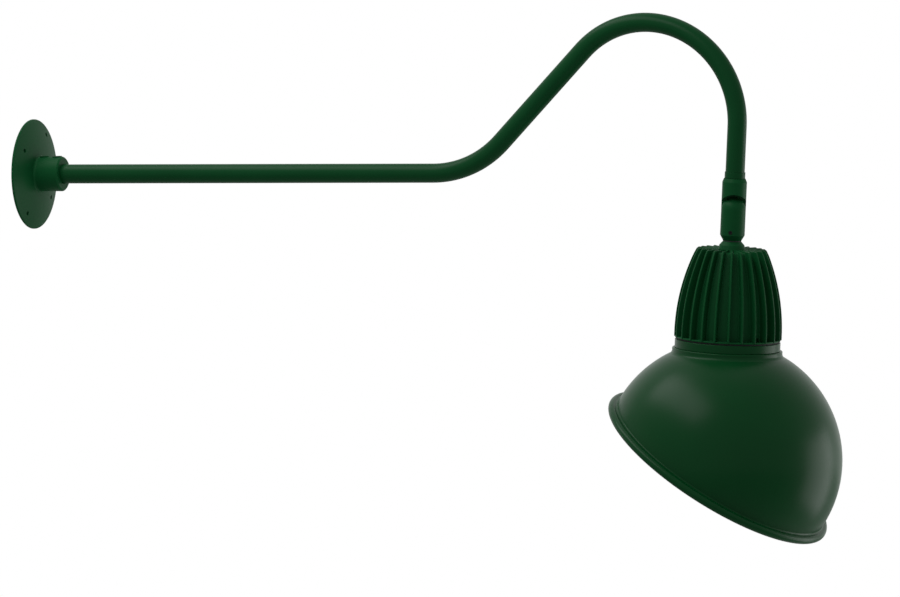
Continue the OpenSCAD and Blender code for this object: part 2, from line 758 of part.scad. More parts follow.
// Half section of the housing's wall, roof, boss and bottom rim
module housing_section() {
    inset = fin_depth + housing_wall;
    rim_top = housing_bottom - rim_inner_h;
    polygon(concat(
        [[nipple_r + fit_gap, -boss_top], [lower_end_d / 2, -boss_top]],
        [[roof_boss_r, -boss_top - 4], [roof_boss_r + 2, -roof_top]],
        outline(fin_depth, roof_top, housing_flange),
        [[flange_r, -housing_flange], [flange_r, -housing_bottom], [rim_inner_r, -housing_bottom]],
        [[rim_inner_r, -rim_top]],
        outline(inset, rim_top - 4, roof_low),
        [[nipple_r + fit_gap, -roof_low]]
    ));
}

module lamp_housing() {
    step = 360 / fin_count;
    third = fin_count / 3;
    color(paint) at_pivot() difference() {
        union() {
            rotate_extrude() housing_section();
            around(fin_count, step / 2) translate([0, fin_t / 2, 0]) rotate([90, 0, 0])
                linear_extrude(fin_t) fin_section();
        }
        for (i = [0:2]) for (j = [0, 1]) rotate([0, 0, (i * third + j - 2) * step])
            translate([channel_r - drain_deep, -step * 0.3, -housing_flange])
            cube([fin_depth, step * 0.6, drain_h]);
        around(4, screw_turn) translate([clamp_r, 0, -housing_bottom - 1])
            cylinder(r = clamp_screw_d / 2 + fit_gap, h = 11);
    }
}

module head_leads() {
    color(black) at_swivel() for (i = [-1:1])
        translate([i * lead_pitch, -lead_side, -driver_top])
        cylinder(r = lead_r, h = driver_top - nipple_top - 4);
}

module led_driver() {
    corner = 4;
    color([0.85, 0.86, 0.84]) at_pivot() difference() {
        translate([0, 0, -housing_bottom]) union() {
            linear_extrude(driver_h) union() {
                square([driver_w - 2 * corner, driver_deep], center = true);
                square([driver_w, driver_deep - 2 * corner], center = true);
                for (x = [-1, 1]) for (y = [-1, 1])
                    translate([x * (driver_w / 2 - corner), y * (driver_deep / 2 - corner)])
                    circle(r = corner);
            }
            translate([0, 0, foot_t / 2]) cube([driver_w + 2 * foot_len, foot_w, foot_t], center = true);
        }
        for (x = [-foot_x, foot_x]) translate([x, 0, -housing_bottom - 1])
            cylinder(r = 1.6 + fit_gap, h = foot_t + 2);
    }
}

module driver_screws() {
    color(steel) at_pivot() for (x = [-foot_x, foot_x])
        translate([x, 0, foot_t - housing_bottom]) pan_screw(1.6, foot_t + engine_t - 1, 3, 1.8);
}

module dc_leads() {
    color("red") at_pivot() for (x = [-1.6, 1.6]) translate([x, 0, -board_low - 0.8])
        cylinder(r = 0.9, h = board_low + 0.8 - housing_bottom);
}

module engine_plate() {
    color(steel) at_pivot() difference() {
        disc(engine_r, housing_bottom, engine_low, dc_hole_r);
        around(4, screw_turn) translate([clamp_r, 0, -engine_low - 1])
            cylinder(r = clamp_screw_d / 2 + 0.2, h = engine_t + 2);
        for (x = [-foot_x, foot_x]) translate([x, 0, 0.8 - engine_low])
            cylinder(r = 1.6 + fit_gap, h = engine_t);
        around(4, screw_turn) translate([board_screw_r, 0, -engine_low - 1])
            cylinder(r = 1.5 + fit_gap, h = engine_t - 0.6 + 1);
    }
}

module thermal_pad() {
    color([0.6, 0.65, 0.75]) at_pivot() difference() {
        disc(board_r - 1, engine_low, board_top, dc_hole_r);
        around(4, screw_turn) translate([board_screw_r, 0, -board_top - 1]) cylinder(r = 2, h = pad_t + 2);
    }
}

module led_board() {
    color(white) at_pivot() difference() {
        disc(board_r, board_top, board_low, dc_hole_r - 0.8);
        around(4, screw_turn) translate([board_screw_r, 0, -board_low - 1]) cylinder(r = 1.7, h = board_t + 2);
    }
}

module led_chips() {
    color([0.95, 0.8, 0.3]) at_pivot() for (ring = [1, 2]) around(chip_count * ring, 11)
        translate([board_r * 0.35 * ring - chip_w / 2, -chip_w / 2, -board_low - chip_t])
        cube([chip_w, chip_w, chip_t]);
}

module board_screws() {
    color(steel) at_pivot() around(4, screw_turn) translate([board_screw_r, 0, -board_low]) rotate([180, 0, 0])
        pan_screw(1.5, board_t + pad_t + engine_t - 1.2, 2.7, 1.6);
}

module ring_seal() {
    color(black) at_pivot() disc(ring_r - 1.5, housing_bottom, ring_top, ring_bore_r + 0.2);
}

module shade_ring() {
    color(paint) at_pivot() difference() {
        disc(ring_r, ring_top, ring_bottom);
        disc(ring_bore_r, ring_top - 1, engine_low + fit_gap);
        disc(ring_bore_r, ring_flange_low, ring_bottom + 1);
        disc(rim_inner_r, ring_top - 1, ring_bottom + 1);
        around(4, screw_turn) translate([clamp_r, 0, -ring_flange_low - 1])
            cylinder(r = clamp_screw_d / 2 + 0.2, h = ring_flange_t + 2);
        around(frame_screw_count, 15) translate([frame_screw_r, 0, -ring_bottom - 1])
            cylinder(r = frame_screw_shank_r + fit_gap, h = ring_h - 1);
    }
}

module clamp_screws() {
    color(steel) at_pivot() around(4, screw_turn) translate([clamp_r, 0, -ring_flange_low]) rotate([180, 0, 0])
        pan_screw(clamp_screw_d / 2, ring_flange_t + engine_t + 8, clamp_r_head, 2.2);
}

module reflector() {
    flange_r_out = frame_bore_r - 0.2;
    cone_top = ring_flange_low - 0.5;
    cone_low = lens_top - reflector_t;
    color(white) at_pivot() rotate_extrude() polygon([
        [reflector_top_r, -cone_top],
        [reflector_top_r + reflector_t, -cone_top],
        [reflector_low_r + reflector_t, -cone_low],
        [flange_r_out, -cone_low],
        [flange_r_out, fit_gap - lens_top],
        [reflector_low_r, fit_gap - lens_top]
    ]);
}

module lens() {
    color([0.9, 0.95, 0.95, 0.5]) at_pivot() disc(lens_r, lens_top, lens_low);
}

module lens_gasket() {
    color(black) at_pivot() disc(frame_bore_r - 0.1, lens_low, frame_floor, frame_lip_r + 0.5);
}

module lens_frame() {
    color(white) at_pivot() difference() {
        disc(frame_r, flange_low, frame_low, frame_lip_r);
        disc(frame_bore_r, flange_low - 1, frame_floor);
        around(frame_screw_count, 15) translate([frame_screw_r, 0, -frame_low - 1])
            cylinder(r = frame_screw_shank_r + 0.2, h = frame_h + 2);
    }
}

module frame_screws() {
    color(steel) at_pivot() around(frame_screw_count, 15) translate([frame_screw_r, 0, -frame_low])
        rotate([180, 0, 0]) pan_screw(frame_screw_shank_r, frame_h + shade_t + 6, frame_screw_head_r, 1.8);
}

// The rolled bead as a closed curl of sheet with a slit where its edge ends
module bead() {
    rotate_extrude() translate([bead_mid_r, -skirt_h]) difference() {
        circle(r = bead_r);
        circle(r = bead_r - shade_t);
        rotate(120) translate([0, -bead_slit / 2]) square([2 * bead_r, bead_slit]);
    }
}

module shade() {
    color(paint) union() {
        difference() {
            union() {
                at_dome() sphere(r = shade_r);
                at_dome() translate([0, 0, -skirt_h]) cylinder(r = shade_r, h = skirt_h);
                at_pivot() disc(neck_r, ring_bottom, shade_drop);
            }
            at_dome() sphere(r = shade_r - shade_t);
            at_dome() translate([0, 0, -skirt_h - 1]) cylinder(r = shade_r - shade_t, h = skirt_h + 1);
            at_dome() translate([0, 0, -2 * shade_r - skirt_h]) cylinder(r = 2 * shade_r, h = 2 * shade_r);
            at_pivot() disc(shade_r, shade_drop - 2 * shade_r, ring_bottom);
            at_pivot() disc(neck_r - shade_t, flange_low, shade_drop);
            at_pivot() disc(neck_flange_r, ring_bottom - 1, flange_low + 1);
            at_pivot() around(frame_screw_count, 15) translate([frame_screw_r, 0, -flange_low - 1])
                cylinder(r = frame_screw_shank_r + 0.2, h = shade_t + 2);
        }
        at_dome() bead();
    }
}

wall_plate();
wall_gasket();
hub_set_screws();
arm_tube();
arm_collar();
lead_bushing();
arm_lead_live();
arm_lead_neutral();
arm_lead_ground();
upper_knuckle();
swivel_set_screw();
swivel_o_ring();
lower_knuckle();
pivot_screw();
pivot_spring_washer();
friction_washer();
pivot_seal();
knuckle_leads();
neck_set_screw();
neck_nipple();
neck_gasket();
neck_locknut();
lamp_housing();
head_leads();
led_driver();
driver_screws();
dc_leads();
engine_plate();
thermal_pad();
led_board();
led_chips();
board_screws();
ring_seal();
shade_ring();
clamp_screws();
reflector();
lens();
lens_gasket();
lens_frame();
frame_screws();
shade();
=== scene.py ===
"""Gooseneck wall light: painted tube arm, swivel, finned lamp housing and an angled dome shade.

Lengths in the classes are millimetres in the frame of their own sub-assembly. Place carries them
into the shared frame, and mesh_object turns them to metres. +X runs out of the wall along the arm,
and +Z is up.
"""

import logging
import math
from dataclasses import dataclass
from enum import Enum
from typing import Any, Sequence

import bmesh
import bpy
import numpy as np
from mathutils import Matrix


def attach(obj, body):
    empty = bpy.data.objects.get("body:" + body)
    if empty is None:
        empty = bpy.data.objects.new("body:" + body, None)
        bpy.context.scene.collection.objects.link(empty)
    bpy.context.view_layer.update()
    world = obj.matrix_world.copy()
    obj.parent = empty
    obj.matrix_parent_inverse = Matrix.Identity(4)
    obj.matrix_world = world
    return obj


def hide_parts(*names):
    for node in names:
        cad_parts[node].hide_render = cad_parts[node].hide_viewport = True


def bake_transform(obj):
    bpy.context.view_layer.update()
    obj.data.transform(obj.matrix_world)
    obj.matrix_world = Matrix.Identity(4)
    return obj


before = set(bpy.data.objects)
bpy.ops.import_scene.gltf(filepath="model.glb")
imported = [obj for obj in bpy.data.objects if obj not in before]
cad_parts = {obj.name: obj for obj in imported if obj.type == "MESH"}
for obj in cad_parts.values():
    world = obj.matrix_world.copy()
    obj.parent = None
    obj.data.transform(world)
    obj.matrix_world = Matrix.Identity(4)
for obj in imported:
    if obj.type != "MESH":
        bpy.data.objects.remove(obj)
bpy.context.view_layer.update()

LOG = logging.getLogger("wall_light")
MM = 0.001

Array = np.ndarray
Corner = tuple[float, float, float]  # radius, height and rounding of a section's corner
Point = tuple[float, float, float]
Colour = tuple[float, float, float]
Item = bpy.types.Object
Material = bpy.types.Material


class Body(Enum):
    """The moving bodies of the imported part."""

    BRACKET = "bracket"
    ARM = "arm"
    SWIVEL = "swivel"
    HEAD = "head"


class Grain(Enum):
    """How a painted surface was made, which its gloss still shows."""

    TUBE = "tube"
    CAST = "cast"
    SPUN = "spun"


# ---------------------------------------------------------------- shader expressions


class Wire:
    """A shader socket that adds Math nodes when it is used in an expression."""

    def __init__(self, look: "Look", socket: Any) -> None:
        """Keeps the material's wiring and the socket."""
        self.look = look
        self.socket = socket

    def _math(self, operation: str, a: Any, b: Any = None, c: Any = None) -> "Wire":
        """Adds one Math node.

        Args:
            operation: the Math node's operation.
            a: its first value or Wire.
            b: its second value or Wire, if it takes one.
            c: its third value or Wire, if it takes one.

        Returns:
            The node's result.
        """
        sockets = {i: v for i, v in enumerate((a, b, c)) if v is not None}
        return self.look.add("ShaderNodeMath", {"operation": operation}, sockets)

    def __add__(self, other: Any) -> "Wire":
        """Sum."""
        return self._math("ADD", self, other)

    __radd__ = __add__

    def __sub__(self, other: Any) -> "Wire":
        """Difference."""
        return self._math("SUBTRACT", self, other)

    def __rsub__(self, other: Any) -> "Wire":
        """Difference from a number."""
        return self._math("SUBTRACT", other, self)

    def __mul__(self, other: Any) -> "Wire":
        """Product."""
        return self._math("MULTIPLY", self, other)

    __rmul__ = __mul__

    def __truediv__(self, other: Any) -> "Wire":
        """Quotient."""
        return self._math("DIVIDE", self, other)

    def __pow__(self, other: float) -> "Wire":
        """Power."""
        return self._math("POWER", self, other)

    def sine(self) -> "Wire":
        """Sine of an angle in radians."""
        return self._math("SINE", self)

    def fract(self) -> "Wire":
        """Part after the decimal point."""
        return self._math("FRACT", self)

    def about(self, middle: float, swing: float) -> "Wire":
        """A value that swings about a middle while this one goes from 0 to 1."""
        return middle + swing * (self - 0.5)

    def ramp(self, low: float, high: float) -> "Wire":
        """Smooth step from 0 at low to 1 at high."""
        settings = {"interpolation_type": "SMOOTHSTEP"}
        return self.look.add("ShaderNodeMapRange", settings, {0: self, 1: low, 2: high})


class Look:
    """One material and the wiring that its nodes share."""

    def __init__(self, name: str) -> None:
        """Makes an empty material that ends in a Principled shader.

        Args:
            name: the material's name.
        """
        self.material = bpy.data.materials.new(name)
        self.material.use_nodes = True
        self.tree = self.material.node_tree
        self.tree.nodes.clear()
        self.output = self.tree.nodes.new("ShaderNodeOutputMaterial")
        self.shader = self.tree.nodes.new("ShaderNodeBsdfPrincipled")
        self.tree.links.new(self.shader.outputs[0], self.output.inputs["Surface"])

    def add(
        self, kind: str, settings: dict[str, Any], sockets: dict[Any, Any], result: Any = 0
    ) -> Wire:
        """Adds one node of any kind.

        Args:
            kind: the node's type.
            settings: its settings, which are set before its sockets.
            sockets: a value or a Wire for each socket, by name or index.
            result: the name or index of the socket to give back.

        Returns:
            That socket as a Wire.
        """
        node = self.tree.nodes.new(kind)
        for key, value in settings.items():
            setattr(node, key, value)
        for key, value in sockets.items():
            if isinstance(value, Wire):
                self.tree.links.new(value.socket, node.inputs[key])
            else:
                node.inputs[key].default_value = value
        return Wire(self, node.outputs[result])

    def place(self) -> Wire:
        """The point of the surface in the shared frame, in metres."""
        return self.add("ShaderNodeTexCoord", {}, {}, "Object")

    def axis_distance(self, origin: Point, degrees: float) -> Wire:
        """Distance from an axis that stood along Z until it was turned about Y and moved.

        Args:
            origin: a point of the axis, in metres.
            degrees: its turn about Y.

        Returns:
            The root of the sum of the squares of the two coordinates across the axis, in metres.
        """
        settings = {"vector_type": "TEXTURE"}
        turn = (0.0, math.radians(degrees), 0.0)
        sockets = {"Vector": self.place(), "Location": origin, "Rotation": turn}
        point = self.add("ShaderNodeMapping", settings, sockets)
        split = self.add("ShaderNodeSeparateXYZ", {}, {0: point})
        side = Wire(self, split.socket.node.outputs[1])
        return (split * split + side * side) ** 0.5

    def noise(self, scale: float, detail: float = 2.0) -> Wire:
        """Noise from 0 to 1, with scale in bumps per metre."""
        sockets = {"Vector": self.place(), "Scale": scale, "Detail": detail}
        return self.add("ShaderNodeTexNoise", {}, sockets)

    def cells(self, scale: float) -> Wire:
        """Distance to the middle of the nearest cell, with scale in cells per metre."""
        return self.add("ShaderNodeTexVoronoi", {}, {"Vector": self.place(), "Scale": scale})

    def blend(self, share: Any, first: Any, second: Any) -> Wire:
        """A colour between two colours.

        Args:
            share: 0 for the first colour and 1 for the second, as a number or Wire.
            first: a colour or Wire.
            second: a colour or Wire.

        Returns:
            The mixed colour.
        """
        settings = {"data_type": "RGBA"}
        return self.add("ShaderNodeMix", settings, {0: share, 6: rgba(first), 7: rgba(second)}, 2)

    def set(self, **values: Any) -> None:
        """Sets the shader's own sockets, with underscores for the spaces in their names.

        Args:
            **values: a number, a colour or a Wire for each socket.
        """
        for key, value in values.items():
            socket = self.shader.inputs[key.replace("_", " ")]
            if isinstance(value, Wire):
                self.tree.links.new(value.socket, socket)
            else:
                socket.default_value = rgba(value) if isinstance(value, tuple) else value

    def relief(self, height: Wire, depth_mm: float) -> None:
        """Gives the surface a bump.

        Args:
            height: the relief from 0 to 1.
            depth_mm: its depth in millimetres.
        """
        sockets = {"Height": height, "Distance": depth_mm * MM, "Strength": 1.0}
        self.set(Normal=self.add("ShaderNodeBump", {}, sockets, "Normal"))


def rgba(colour: Any) -> Any:
    """A colour with its alpha, or a Wire as it is."""
    return (*colour, 1.0) if isinstance(colour, tuple) and len(colour) == 3 else colour


def scaled(colour: Colour, factor: float, lift: float = 0.0) -> Colour:
    """A colour made darker or paler by a factor, and then lifted."""
    red, green, blue = (factor * c + lift for c in colour)
    return red, green, blue


# ---------------------------------------------------------------- finishes


@dataclass(frozen=True)
class Enamel:
    """Stoved gloss paint: an even colour with a faint orange-peel relief."""

    name: str
    colour: Colour
    grain: Grain = Grain.TUBE
    roughness: float = 0.2
    peel_mm: float = 0.012
    specular: float = 0.5

    def make(self) -> Material:
        """Builds the material.

        The colour drifts by a few hundredths over a hand's breadth. The relief is a peel of 2 to
        3 mm waves. A casting adds the grain of its sand mould, and spun sheet adds slow, low waves.

        Returns:
            The material.
        """
        look = Look(self.name)
        drift = look.noise(scale=14.0)
        mist = look.noise(scale=60.0, detail=3.0)
        look.set(
            Base_Color=look.blend(drift, scaled(self.colour, 0.88), scaled(self.colour, 1.1)),
            Roughness=mist.about(self.roughness, 0.05) + 0.03 * (drift - 0.5),
            Specular_IOR_Level=self.specular,
        )
        peel = look.noise(scale=420.0, detail=1.0)
        if self.grain is Grain.CAST:
            height = 0.45 * peel + 0.55 * look.noise(scale=900.0, detail=3.0)
        elif self.grain is Grain.SPUN:
            height = 0.8 * peel + 0.2 * look.noise(scale=150.0, detail=1.0)
        else:
            height = peel
        look.relief(height, self.peel_mm)
        return look.material


@dataclass(frozen=True)
class Steel:
    """Plated or blackened screw steel with fine turning marks."""

    name: str
    colour: Colour
    roughness: float = 0.32
    metallic: float = 1.0

    def make(self) -> Material:
        """Builds the material, whose brightness and gloss drift with handling.

        Returns:
            The material.
        """
        look = Look(self.name)
        cloud = look.noise(scale=900.0, detail=3.0)
        look.set(
            Base_Color=look.blend(cloud, scaled(self.colour, 0.72), self.colour),
            Metallic=self.metallic,
            Roughness=cloud.about(self.roughness, 0.2),
        )
        look.relief(look.noise(scale=5200.0, detail=1.0), depth_mm=0.01)
        return look.material


@dataclass(frozen=True)
class Turned:
    """Bare aluminium with the rings that a lathe leaves about the lamp's axis."""

    name: str
    colour: Colour
    origin: Point
    turn: float
    pitch_mm: float = 0.5

    def make(self) -> Material:
        """Builds the material: ring height is the sine of the distance from the axis.

        Returns:
            The material.
        """
        look = Look(self.name)
        radius = look.axis_distance(self.origin, self.turn)
        ridges = (radius * (2.0 * math.pi / (self.pitch_mm * MM))).sine()
        cloud = look.noise(scale=300.0, detail=3.0)
        look.set(
            Base_Color=look.blend(cloud, scaled(self.colour, 0.8), self.colour),
            Metallic=1.0,
            Roughness=cloud.about(0.3, 0.12),
        )
        look.relief(0.5 * ridges + 0.5, depth_mm=0.008)
        return look.material


@dataclass(frozen=True)
class Plastic:
    """Moulded plastic or insulation: a fine grain over slow sink marks."""

    name: str
    colour: Colour
    roughness: float = 0.4
    grain_mm: float = 0.02
    grain_scale: float = 2500.0

    def make(self) -> Material:
        """Builds the material.

        Returns:
            The material.
        """
        look = Look(self.name)
        drift = look.noise(scale=120.0)
        look.set(
            Base_Color=look.blend(drift, scaled(self.colour, 0.86), self.colour),
            Roughness=look.noise(scale=700.0).about(self.roughness, 0.12),
        )
        look.relief(0.7 * look.noise(self.grain_scale) + 0.3 * drift, self.grain_mm)
        return look.material


@dataclass(frozen=True)
class Rubber:
    """Moulded or foamed rubber with open cells and a dusty bloom."""

    name: str
    colour: Colour
    cell_scale: float = 1800.0
    depth_mm: float = 0.06

    def make(self) -> Material:
        """Builds the material: cells sink to their middles, and dust pales the high places.

        Returns:
            The material.
        """
        look = Look(self.name)
        cell = look.cells(self.cell_scale)
        dust = look.noise(scale=90.0, detail=4.0).ramp(low=0.45, high=0.75)
        look.set(
            Base_Color=look.blend(dust, self.colour, scaled(self.colour, 1.2, lift=0.003)),
            Roughness=dust.about(0.72, 0.15),
            Specular_IOR_Level=0.12,
        )
        look.relief(1.0 - cell, self.depth_mm)
        return look.material


@dataclass(frozen=True)
class Board:
    """White solder mask over copper, with the tracks just raised."""

    name: str
    origin: Point
    turn: float
    pitch_mm: float = 2.4

    def make(self) -> Material:
        """Builds the material: tracks are rings about the lamp's axis, a pitch apart.

        Returns:
            The material.
        """
        look = Look(self.name)
        radius = look.axis_distance(self.origin, self.turn)
        track = (radius / (self.pitch_mm * MM)).fract().ramp(low=0.12, high=0.2)
        look.set(
            Base_Color=look.blend(track, (0.8, 0.81, 0.78), (0.88, 0.88, 0.85)),
            Roughness=look.noise(scale=500.0).about(0.3, 0.1),
        )
        look.relief(track, depth_mm=0.03)
        return look.material


@dataclass(frozen=True)
class Phosphor:
    """The yellow gel of a light-emitting chip."""

    name: str

    def make(self) -> Material:
        """Builds the material: fine yellow grains in a glossy gel.

        Returns:
            The material.
        """
        look = Look(self.name)
        grain = look.noise(scale=6000.0, detail=3.0)
        look.set(
            Base_Color=look.blend(grain, (0.85, 0.58, 0.08), (0.95, 0.74, 0.2)),
            Roughness=grain.about(0.28, 0.1),
            Coat_Weight=0.4,
        )
        look.relief(grain, depth_mm=0.02)
        return look.material


@dataclass(frozen=True)
class LensGlass:
    """Tempered lens glass with a faint sandblasted haze."""

    name: str

    def make(self) -> Material:
        """Builds the material.

        Returns:
            The material.
        """
        look = Look(self.name)
        haze = look.noise(scale=35.0, detail=3.0)
        look.set(
            Base_Color=look.blend(haze, (0.9, 0.94, 0.93), (0.95, 0.97, 0.96)),
            Roughness=0.06 + 0.08 * haze,
            Transmission_Weight=0.92,
            IOR=1.5,
        )
        look.relief(look.noise(scale=220.0, detail=1.0), depth_mm=0.01)
        return look.material


# One green paint given three colours as painted light and shade: lighter on the cast pieces, darker
# on the spun shade and between the two on the tube. The real light has the same paint all over.
TUBE_GREEN_PAINTED_MID = (0.0018, 0.036, 0.0095)
CAST_GREEN_PAINTED_LIGHT = (0.0026, 0.044, 0.0122)
SPUN_GREEN_PAINTED_DARK = (0.0007, 0.032, 0.0072)
PIVOT = (0.841393, 0.0, -0.040641)
LEAN = 4.6


class Finishes:
    """Every material of the light, made once."""

    def __init__(self) -> None:
        """Builds the materials."""
        # The three green enamels differ in gloss and relief, and their colours differ only as
        # painted light and shade.
        self.tube = Enamel(
            "green_tube_enamel_painted_mid", TUBE_GREEN_PAINTED_MID, Grain.TUBE,
            roughness=0.34, peel_mm=0.003, specular=0.05,
        ).make()
        self.cast = Enamel(
            "green_cast_enamel_painted_light", CAST_GREEN_PAINTED_LIGHT, Grain.CAST,
            roughness=0.42, peel_mm=0.006, specular=0.04,
        ).make()
        self.spun = Enamel(
            "green_spun_enamel_painted_dark", SPUN_GREEN_PAINTED_DARK, Grain.SPUN,
            roughness=0.31, peel_mm=0.002, specular=0.068,
        ).make()
        self.white = Enamel(
            "white_inner_enamel", (0.84, 0.84, 0.8), Grain.SPUN, roughness=0.35, peel_mm=0.01
        ).make()
        self.frame = Enamel(
            "white_frame_enamel", (0.8, 0.8, 0.76), Grain.CAST, roughness=0.4, peel_mm=0.02
        ).make()
        self.steel = Steel("zinc_screw_steel", (0.4, 0.41, 0.42)).make()
        self.black = Steel(
            "black_screw_steel", (0.014, 0.015, 0.0145), roughness=0.5, metallic=0.95
        ).make()
        self.spring = Steel("spring_steel", (0.45, 0.44, 0.43), roughness=0.38).make()
        self.turned = Turned("turned_aluminium", (0.8, 0.8, 0.8), PIVOT, LEAN).make()
        self.mirror = Turned("spun_reflector", (0.9, 0.9, 0.88), PIVOT, LEAN, pitch_mm=0.8).make()
        self.foam = Rubber(
            "foam_gasket", (0.02, 0.02, 0.021), cell_scale=1500.0, depth_mm=0.12
        ).make()
        self.seal = Rubber(
            "silicone_seal", (0.012, 0.013, 0.013), cell_scale=2600.0, depth_mm=0.02
        ).make()
        self.pad = Rubber("thermal_pad", (0.42, 0.5, 0.62), cell_scale=3500.0, depth_mm=0.02).make()
        self.nylon = Plastic("nylon_bushing", (0.82, 0.8, 0.72), roughness=0.45).make()
        sleeve = {"roughness": 0.35, "grain_mm": 0.01}
        self.live = Plastic("black_insulation", (0.02, 0.02, 0.02), **sleeve).make()
        self.neutral = Plastic("white_insulation", (0.8, 0.8, 0.77), **sleeve).make()
        self.ground = Plastic("green_insulation", (0.03, 0.26, 0.06), **sleeve).make()
        self.dc = Plastic("red_insulation", (0.5, 0.03, 0.02), **sleeve).make()
        self.driver = Plastic("driver_case", (0.82, 0.82, 0.79), 0.45, 0.05, 1500.0).make()
        self.board = Board("light_board", PIVOT, LEAN).make()
        self.chip = Phosphor("chip_phosphor").make()
        self.glass = LensGlass("lens_glass").make()


# ---------------------------------------------------------------- surfaces


@dataclass(frozen=True)
class Place:
    """A frame of reference that was turned about its own Z, then about Y, and then moved."""

    origin: Point = (0.0, 0.0, 0.0)
    turn: float = 0.0
    spin: float = 0.0

    def matrix(self) -> Array:
        """The turn as a matrix that multiplies column vectors.

        Returns:
            The 3 by 3 matrix.
        """
        c, s = math.cos(math.radians(self.turn)), math.sin(math.radians(self.turn))
        p, q = math.cos(math.radians(self.spin)), math.sin(math.radians(self.spin))
        lean = np.array([[c, 0.0, s], [0.0, 1.0, 0.0], [-s, 0.0, c]])
        return lean @ np.array([[p, -q, 0.0], [q, p, 0.0], [0.0, 0.0, 1.0]])

    def out(self, points: Array) -> Array:
        """Carries points from this frame to the one that it is given in."""
        return points @ self.matrix().T + np.array(self.origin)


@dataclass
class Surface:
    """A mesh in the making: points in millimetres, faces and a material index for each face."""

    points: Array
    faces: Array
    paint: Array

    def joined(self, *others: "Surface") -> "Surface":
        """This surface and others as one.

        Args:
            *others: the other surfaces.

        Returns:
            The joined surface.
        """
        every = (self, *others)
        starts = np.cumsum([0, *(len(s.points) for s in every[:-1])])
        faces = np.concatenate([s.faces + k for s, k in zip(every, starts)])
        points = np.concatenate([s.points for s in every])
        return Surface(points, faces, np.concatenate([s.paint for s in every]))

    def moved(self, place: Place) -> "Surface":
        """This surface carried out of a frame of reference."""
        return Surface(place.out(self.points), self.faces, self.paint)


def sheet(points: Array, wrap_rows: bool = False, wrap_columns: bool = False) -> Surface:
    """Faces over a grid of points: each face joins a point to the next row's and next column's.

    Args:
        points: an array of rows by columns by 3.
        wrap_rows: whether the last row joins the first.
        wrap_columns: whether the last column joins the first.

    Returns:
        The surface.
    """
    rows, columns = points.shape[:2]
    i = np.arange(rows if wrap_rows else rows - 1)[:, None]
    j = np.arange(columns if wrap_columns else columns - 1)[None, :]
    k, m = (i + 1) % rows, (j + 1) % columns
    corners = (i * columns + j, i * columns + m, k * columns + m, k * columns + j)
    quads = np.stack(np.broadcast_arrays(*corners), axis=-1).reshape(-1, 4)
    return Surface(points.reshape(-1, 3), quads, np.zeros(len(quads), int))


def rounded(corners: Sequence[Corner], closed: bool = True, steps: int = 4) -> Array:
    """A section outline whose corners are arcs.

    At a corner of angle a, an arc of radius r leaves each side r / tan(a / 2) before the corner.
    Its points turn evenly from one side's normal to the other's. The cut is limited by the sides.

    Args:
        corners: the outline's corners as radius, height and corner radius.
        closed: whether the last corner joins the first.
        steps: how many pieces an arc has.

    Returns:
        The outline's points, as an array of points by 2.
    """
    line = np.array([c[:2] for c in corners], float)
    before, after = np.roll(line, 1, 0), np.roll(line, -1, 0)
    left, right = before - line, after - line
    lengths = np.linalg.norm(left, axis=1), np.linalg.norm(right, axis=1)
    u, v = left / lengths[0][:, None], right / lengths[1][:, None]
    half = np.arccos(np.clip((u * v).sum(1), -1, 1)) / 2
    radius = np.array([c[2] for c in corners], float)
    if not closed:
        radius[[0, -1]] = 0.0
    cut = np.minimum(radius / np.tan(half), 0.49 * np.minimum(*lengths))
    radius = cut * np.tan(half)
    out: list[Array] = []
    for p, a, b, c, r, h in zip(line, u, v, cut, radius, half):
        if r < 1e-6:
            out.append(p[None, :])
            continue
        middle = (a + b) / np.linalg.norm(a + b)
        centre = p + middle * r / math.sin(h)
        start, end = p + a * c - centre, p + b * c - centre
        sweep = math.pi - 2 * h
        share = np.linspace(0, 1, steps + 1)[:, None]
        arc = np.sin((1 - share) * sweep) * start + np.sin(share * sweep) * end
        out.append(centre + arc / math.sin(sweep))
    return np.concatenate(out)


def circle(segments: int) -> Array:
    """Angles that part a full turn evenly."""
    return np.linspace(0, 2 * np.pi, segments, endpoint=False)


def rings(section: Array, segments: int) -> Array:
    """Rings about Z: a point at radius r and height z goes to (r cos a, r sin a, z).

    Args:
        section: points by 2, as radius and height.
        segments: how many points a ring has.

    Returns:
        An array of rings by points by 3.
    """
    a = circle(segments)
    r, z = section[:, :1], section[:, 1:]
    return np.stack([r * np.cos(a), r * np.sin(a), np.broadcast_to(z, (len(z), segments))], axis=-1)


def turned(section: Array, segments: int = 96) -> Surface:
    """A closed section turned about Z.

    Args:
        section: points by 2, as radius and height.
        segments: how many steps the turn has.

    Returns:
        The surface.
    """
    return sheet(rings(section, segments), wrap_rows=True, wrap_columns=True)


def laid_along_x(surface: Surface) -> Surface:
    """A surface turned about Z, laid so that its axis is X: (x, y, z) goes to (z, x, y)."""
    return Surface(surface.points[:, [2, 0, 1]], surface.faces, surface.paint)


def mesh_object(name: str, surface: Surface, materials: Sequence[Material]) -> Item:
    """Puts a surface into a mesh at the origin, in metres, with its doubles merged.

    Args:
        name: the piece's name.
        surface: the surface, in millimetres of the shared frame.
        materials: the materials that the face indices point at.

    Returns:
        The new object.
    """
    mesh = bpy.data.meshes.new(name)
    mesh.from_pydata((surface.points * MM).tolist(), [], surface.faces.tolist())
    mesh.polygons.foreach_set("material_index", surface.paint.astype(np.int32))
    for material in materials:
        mesh.materials.append(material)
    return tidied(link(name, mesh))


def link(name: str, mesh: bpy.types.Mesh) -> Item:
    """Adds a mesh to the scene as an object at the origin.

    Args:
        name: the object's name.
        mesh: its mesh.

    Returns:
        The new object.
    """
    item = bpy.data.objects.new(name, mesh)
    bpy.context.scene.collection.objects.link(item)
    return item


